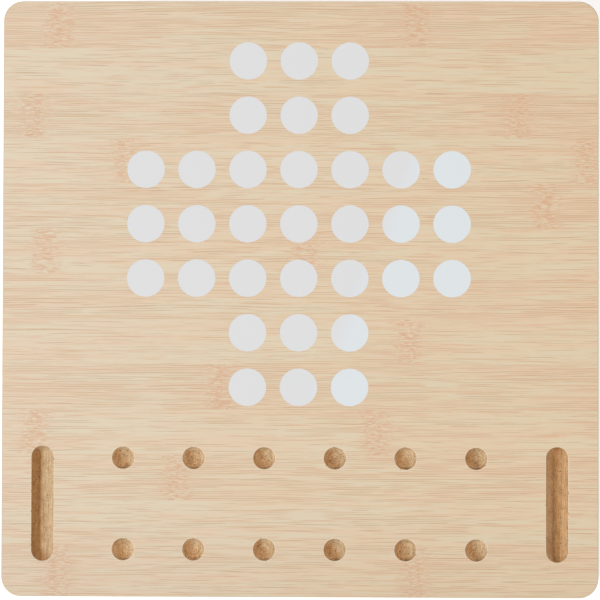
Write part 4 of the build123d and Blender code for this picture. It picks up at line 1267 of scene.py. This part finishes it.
def die_face(number, lines, die):
    """One face of a rounded cube, looking up +Z, as (points, distance to the pips' rims).

    A grid on the flat face of a cube is drawn in onto the cube's core by the edge radius, and
    pushed out again by that radius along the way it was drawn. Inside a pip's radius the surface
    sinks by the height of a ball's cap.
    """
    half = die.size / 2
    core = half - die.edge
    a, b = np.meshgrid(lines, lines, indexing="ij")
    flat = np.stack([a, b, np.full_like(a, half)], axis=-1)
    inner = np.clip(flat, -core, core)
    out = flat - inner
    points = inner + die.edge * out / np.linalg.norm(out, axis=-1, keepdims=True)
    pips = pip_places(number) * die.size / 4
    gaps = np.hypot(a[..., None] - pips[:, 0], b[..., None] - pips[:, 1]).min(axis=-1)
    ball = (die.pip_radius**2 + die.pip_depth**2) / (2 * die.pip_depth)
    lift = np.sqrt(np.maximum(ball**2 - gaps**2, 0)) - (ball - die.pip_depth)
    points[..., 2] -= np.maximum(lift, 0)
    return points.reshape(-1, 3), (gaps - die.pip_radius).reshape(-1)


def die_lines(die):
    """Grid lines across a face: close over the rounded edges, even over the flat."""
    core = die.size / 2 - die.edge
    lean = np.linspace(0, 1, EDGE_LINES + 1)[1:]
    over_edge = core + die.edge * np.tan(lean * math.pi / 4)
    flat = np.linspace(-core, core, FLAT_LINES)
    return np.concatenate([-over_edge[::-1], flat, over_edge])


def rounded_die(die):
    """All six faces of a die at the origin: opposite faces add up to seven."""
    turns = {
        1: (0, 0, 0), 6: (math.pi, 0, 0), 2: (math.pi / 2, 0, 0),
        5: (-math.pi / 2, 0, 0), 3: (0, math.pi / 2, 0), 4: (0, -math.pi / 2, 0),
    }
    lines = die_lines(die)
    n = len(lines)
    corner = (np.arange(n - 1)[:, None] * n + np.arange(n - 1)).reshape(-1)
    quads = np.stack([corner, corner + n, corner + n + 1, corner + 1], axis=-1)
    points, gaps, faces = [], [], []
    for number, angles in turns.items():
        face_points, face_gaps = die_face(number, lines, die)
        turn = np.array(Euler(angles).to_matrix())
        faces.append(quads + len(points) * n * n)
        points.append(face_points @ turn.T)
        gaps.append(face_gaps)
    return np.concatenate(points), np.concatenate(gaps), np.concatenate(faces)


def place_dice(die):
    """Where each die lies: a zigzag along the middle of the CAD dice's box, each turned."""
    low, high = (np.array(corner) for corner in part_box("dice"))
    middle = (low + high) / 2
    for i in range(die.count):
        step = die.count - 1 - i
        side = -1 if step % 2 else 1
        x = middle[0] + side * DICE_ZIGZAG
        y = middle[1] + (i - (die.count - 1) / 2) * DICE_PITCH
        quarter = (math.pi / 2 * step, math.pi / 2 * (step % 3), 0)
        thrown = np.array(Euler(quarter).to_matrix())
        turned = np.array(Euler((0, 0, DICE_LEAN * (step % 5 - 2))).to_matrix())
        yield (x, y, low[2] + die.size / 2), turned @ thrown


def dice_mesh(die):
    """All the dice in one mesh, each point with its distance to the nearest pip's rim in mm."""
    one, gaps, quads = rounded_die(die)
    points, faces = [], []
    for i, (place, turn) in enumerate(place_dice(die)):
        points.append(one @ turn.T + np.array(place))
        faces.append(quads + i * len(one))
    mesh = bpy.data.meshes.new("dice_rounded")
    mesh.from_pydata(np.concatenate(points).tolist(), [], np.concatenate(faces).tolist())
    rim = mesh.attributes.new("pip_rim", "FLOAT", "POINT")
    rim.data.foreach_set("value", np.tile(gaps / MM, len(points)).astype(np.float32))
    weld(mesh)
    return mesh


def weld(mesh):
    """Joins the doubled points where faces meet, points all faces outwards and smooths them."""
    shell = bmesh.new()
    shell.from_mesh(mesh)
    bmesh.ops.remove_doubles(shell, verts=shell.verts, dist=0.01 * MM)
    bmesh.ops.recalc_face_normals(shell, faces=shell.faces)
    shell.to_mesh(mesh)
    shell.free()
    mesh.shade_smooth()


def polished_resin(die):
    """Polished resin, faintly clouded, with matt paint inside the pips' rims."""
    finish = Finish("polished resin", Coat_Weight=0.6, Coat_Roughness=0.08)
    rim = finish.node("ShaderNodeAttribute", {"attribute_name": "pip_rim"}, output="Fac")
    painted = 1 - rim.rises(-0.1, 0)
    cloudy = finish.lumps(5, 3, 0.5, 0.8)
    colour = finish.shade(die.body, 0.92 + cloudy * 0.14)
    colour = finish.blend(painted, colour, die.pip)
    return finish.done(colour, 0.16 + cloudy * 0.08 + painted * 0.3)


class GAMES_BOX_OT_dice(bpy.types.Operator):
    """Rounded dice with sunk pips"""

    bl_idname = "games_box.dice"
    bl_label = "Dice"
    bl_options = {"REGISTER", "UNDO"}

    def execute(self, context):
        die = settings("die")
        mesh = dice_mesh(die)
        mesh.materials.append(polished_resin(die))
        piece = bpy.data.objects.new("dice_rounded", mesh)
        context.scene.collection.objects.link(piece)
        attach(piece, "left_drawer")
        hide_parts("dice")
        return {"FINISHED"}


# Stage

# The key light's distance from the origin and its width in metres, and where it stands in degrees
KEY_DISTANCE = 10.0
KEY_SIZE = 0.9
KEY_UP = 41
KEY_ROUND = 192
KEY_AIM = (0, 0, 0.03)
# The camera's turn in degrees and its sensor's width in mm
CAMERA_TURN = (0.977, 0.636, 0.151)
SENSOR = 36


def make_floor(stage):
    """Plain pale paper under the box, which lets some light through."""
    half = stage.floor_size / 2
    corners = [(-half, -half, 0), (half, -half, 0), (half, half, 0), (-half, half, 0)]
    mesh = bpy.data.meshes.new("floor")
    mesh.from_pydata(corners, [], [(0, 1, 2, 3)])
    finish = Finish("floor paper", Roughness=0.9, Specular_IOR_Level=0.1)
    finish.shader.inputs["Base Color"].default_value = (*stage.floor, 1)
    finish.shader.inputs["Emission Color"].default_value = (*WHITE, 1)
    finish.shader.inputs["Emission Strength"].default_value = stage.floor_glow
    mesh.materials.append(finish.material)
    floor = bpy.data.objects.new("floor", mesh)
    bpy.context.scene.collection.objects.link(floor)


def make_lights(stage):
    """A round light high on the left, and an even light from all round."""
    up, around = math.radians(KEY_UP), math.radians(KEY_ROUND)
    flat = KEY_DISTANCE * math.cos(up)
    data = bpy.data.lights.new("key light", "AREA")
    data.shape = "DISK"
    data.size = KEY_SIZE
    data.energy = stage.key_power
    light = bpy.data.objects.new("key light", data)
    place = (flat * math.cos(around), flat * math.sin(around), KEY_DISTANCE * math.sin(up))
    light.location = place
    aim = Vector(KEY_AIM) - Vector(place)
    light.rotation_euler = aim.to_track_quat("-Z", "Y").to_euler()
    bpy.context.scene.collection.objects.link(light)
    world = bpy.data.worlds.new("studio")
    world.use_nodes = True
    background = world.node_tree.nodes["Background"]
    background.inputs["Color"].default_value = (*WHITE, 1)
    background.inputs["Strength"].default_value = stage.fill
    bpy.context.scene.world = world


def make_camera(stage):
    """A camera high above the box that looks down on it."""
    lens = bpy.data.cameras.new("camera")
    lens.lens = stage.lens
    lens.sensor_width = SENSOR
    camera = bpy.data.objects.new("camera", lens)
    camera.location = (stage.camera_x, -stage.camera_back, stage.camera_up)
    camera.rotation_euler = [math.radians(angle) for angle in CAMERA_TURN]
    bpy.context.scene.collection.objects.link(camera)
    bpy.context.scene.camera = camera


class GAMES_BOX_OT_stage(bpy.types.Operator):
    """Floor, light and camera"""

    bl_idname = "games_box.stage"
    bl_label = "Stage"
    bl_options = {"REGISTER", "UNDO"}

    def execute(self, context):
        stage = settings("stage")
        make_floor(stage)
        make_lights(stage)
        make_camera(stage)
        context.scene.view_settings.view_transform = "Standard"
        return {"FINISHED"}


# Panel and registration

OPERATORS = [
    GAMES_BOX_OT_top_panel,
    GAMES_BOX_OT_walls,
    GAMES_BOX_OT_base,
    GAMES_BOX_OT_inner_frame,
    GAMES_BOX_OT_drawers,
    GAMES_BOX_OT_board_tray,
    GAMES_BOX_OT_game_boards,
    GAMES_BOX_OT_chess_men_and_counters,
    GAMES_BOX_OT_dominoes,
    GAMES_BOX_OT_pick_up_sticks,
    GAMES_BOX_OT_beads,
    GAMES_BOX_OT_pawns,
    GAMES_BOX_OT_dice,
    GAMES_BOX_OT_stage,
]


class GAMES_BOX_PT_panel(bpy.types.Panel):
    """Lists the operators that dress the box"""

    bl_idname = "GAMES_BOX_PT_panel"
    bl_label = "Games box"
    bl_space_type = "VIEW_3D"
    bl_region_type = "UI"
    bl_category = "Games box"

    def draw(self, context):
        for made in OPERATORS:
            self.layout.operator(made.bl_idname)


CLASSES = [*GROUPS.values(), *OPERATORS, GAMES_BOX_PT_panel]


def register():
    for made in CLASSES:
        bpy.utils.register_class(made)
    for name, group in GROUPS.items():
        setattr(bpy.types.Scene, name, PointerProperty(type=group))


def unregister():
    for name in GROUPS:
        delattr(bpy.types.Scene, name)
    for made in reversed(CLASSES):
        bpy.utils.unregister_class(made)


def main():
    register()
    for made in OPERATORS:
        group, name = made.bl_idname.split(".")
        getattr(getattr(bpy.ops, group), name)()


if __name__ == "__main__":
    main()
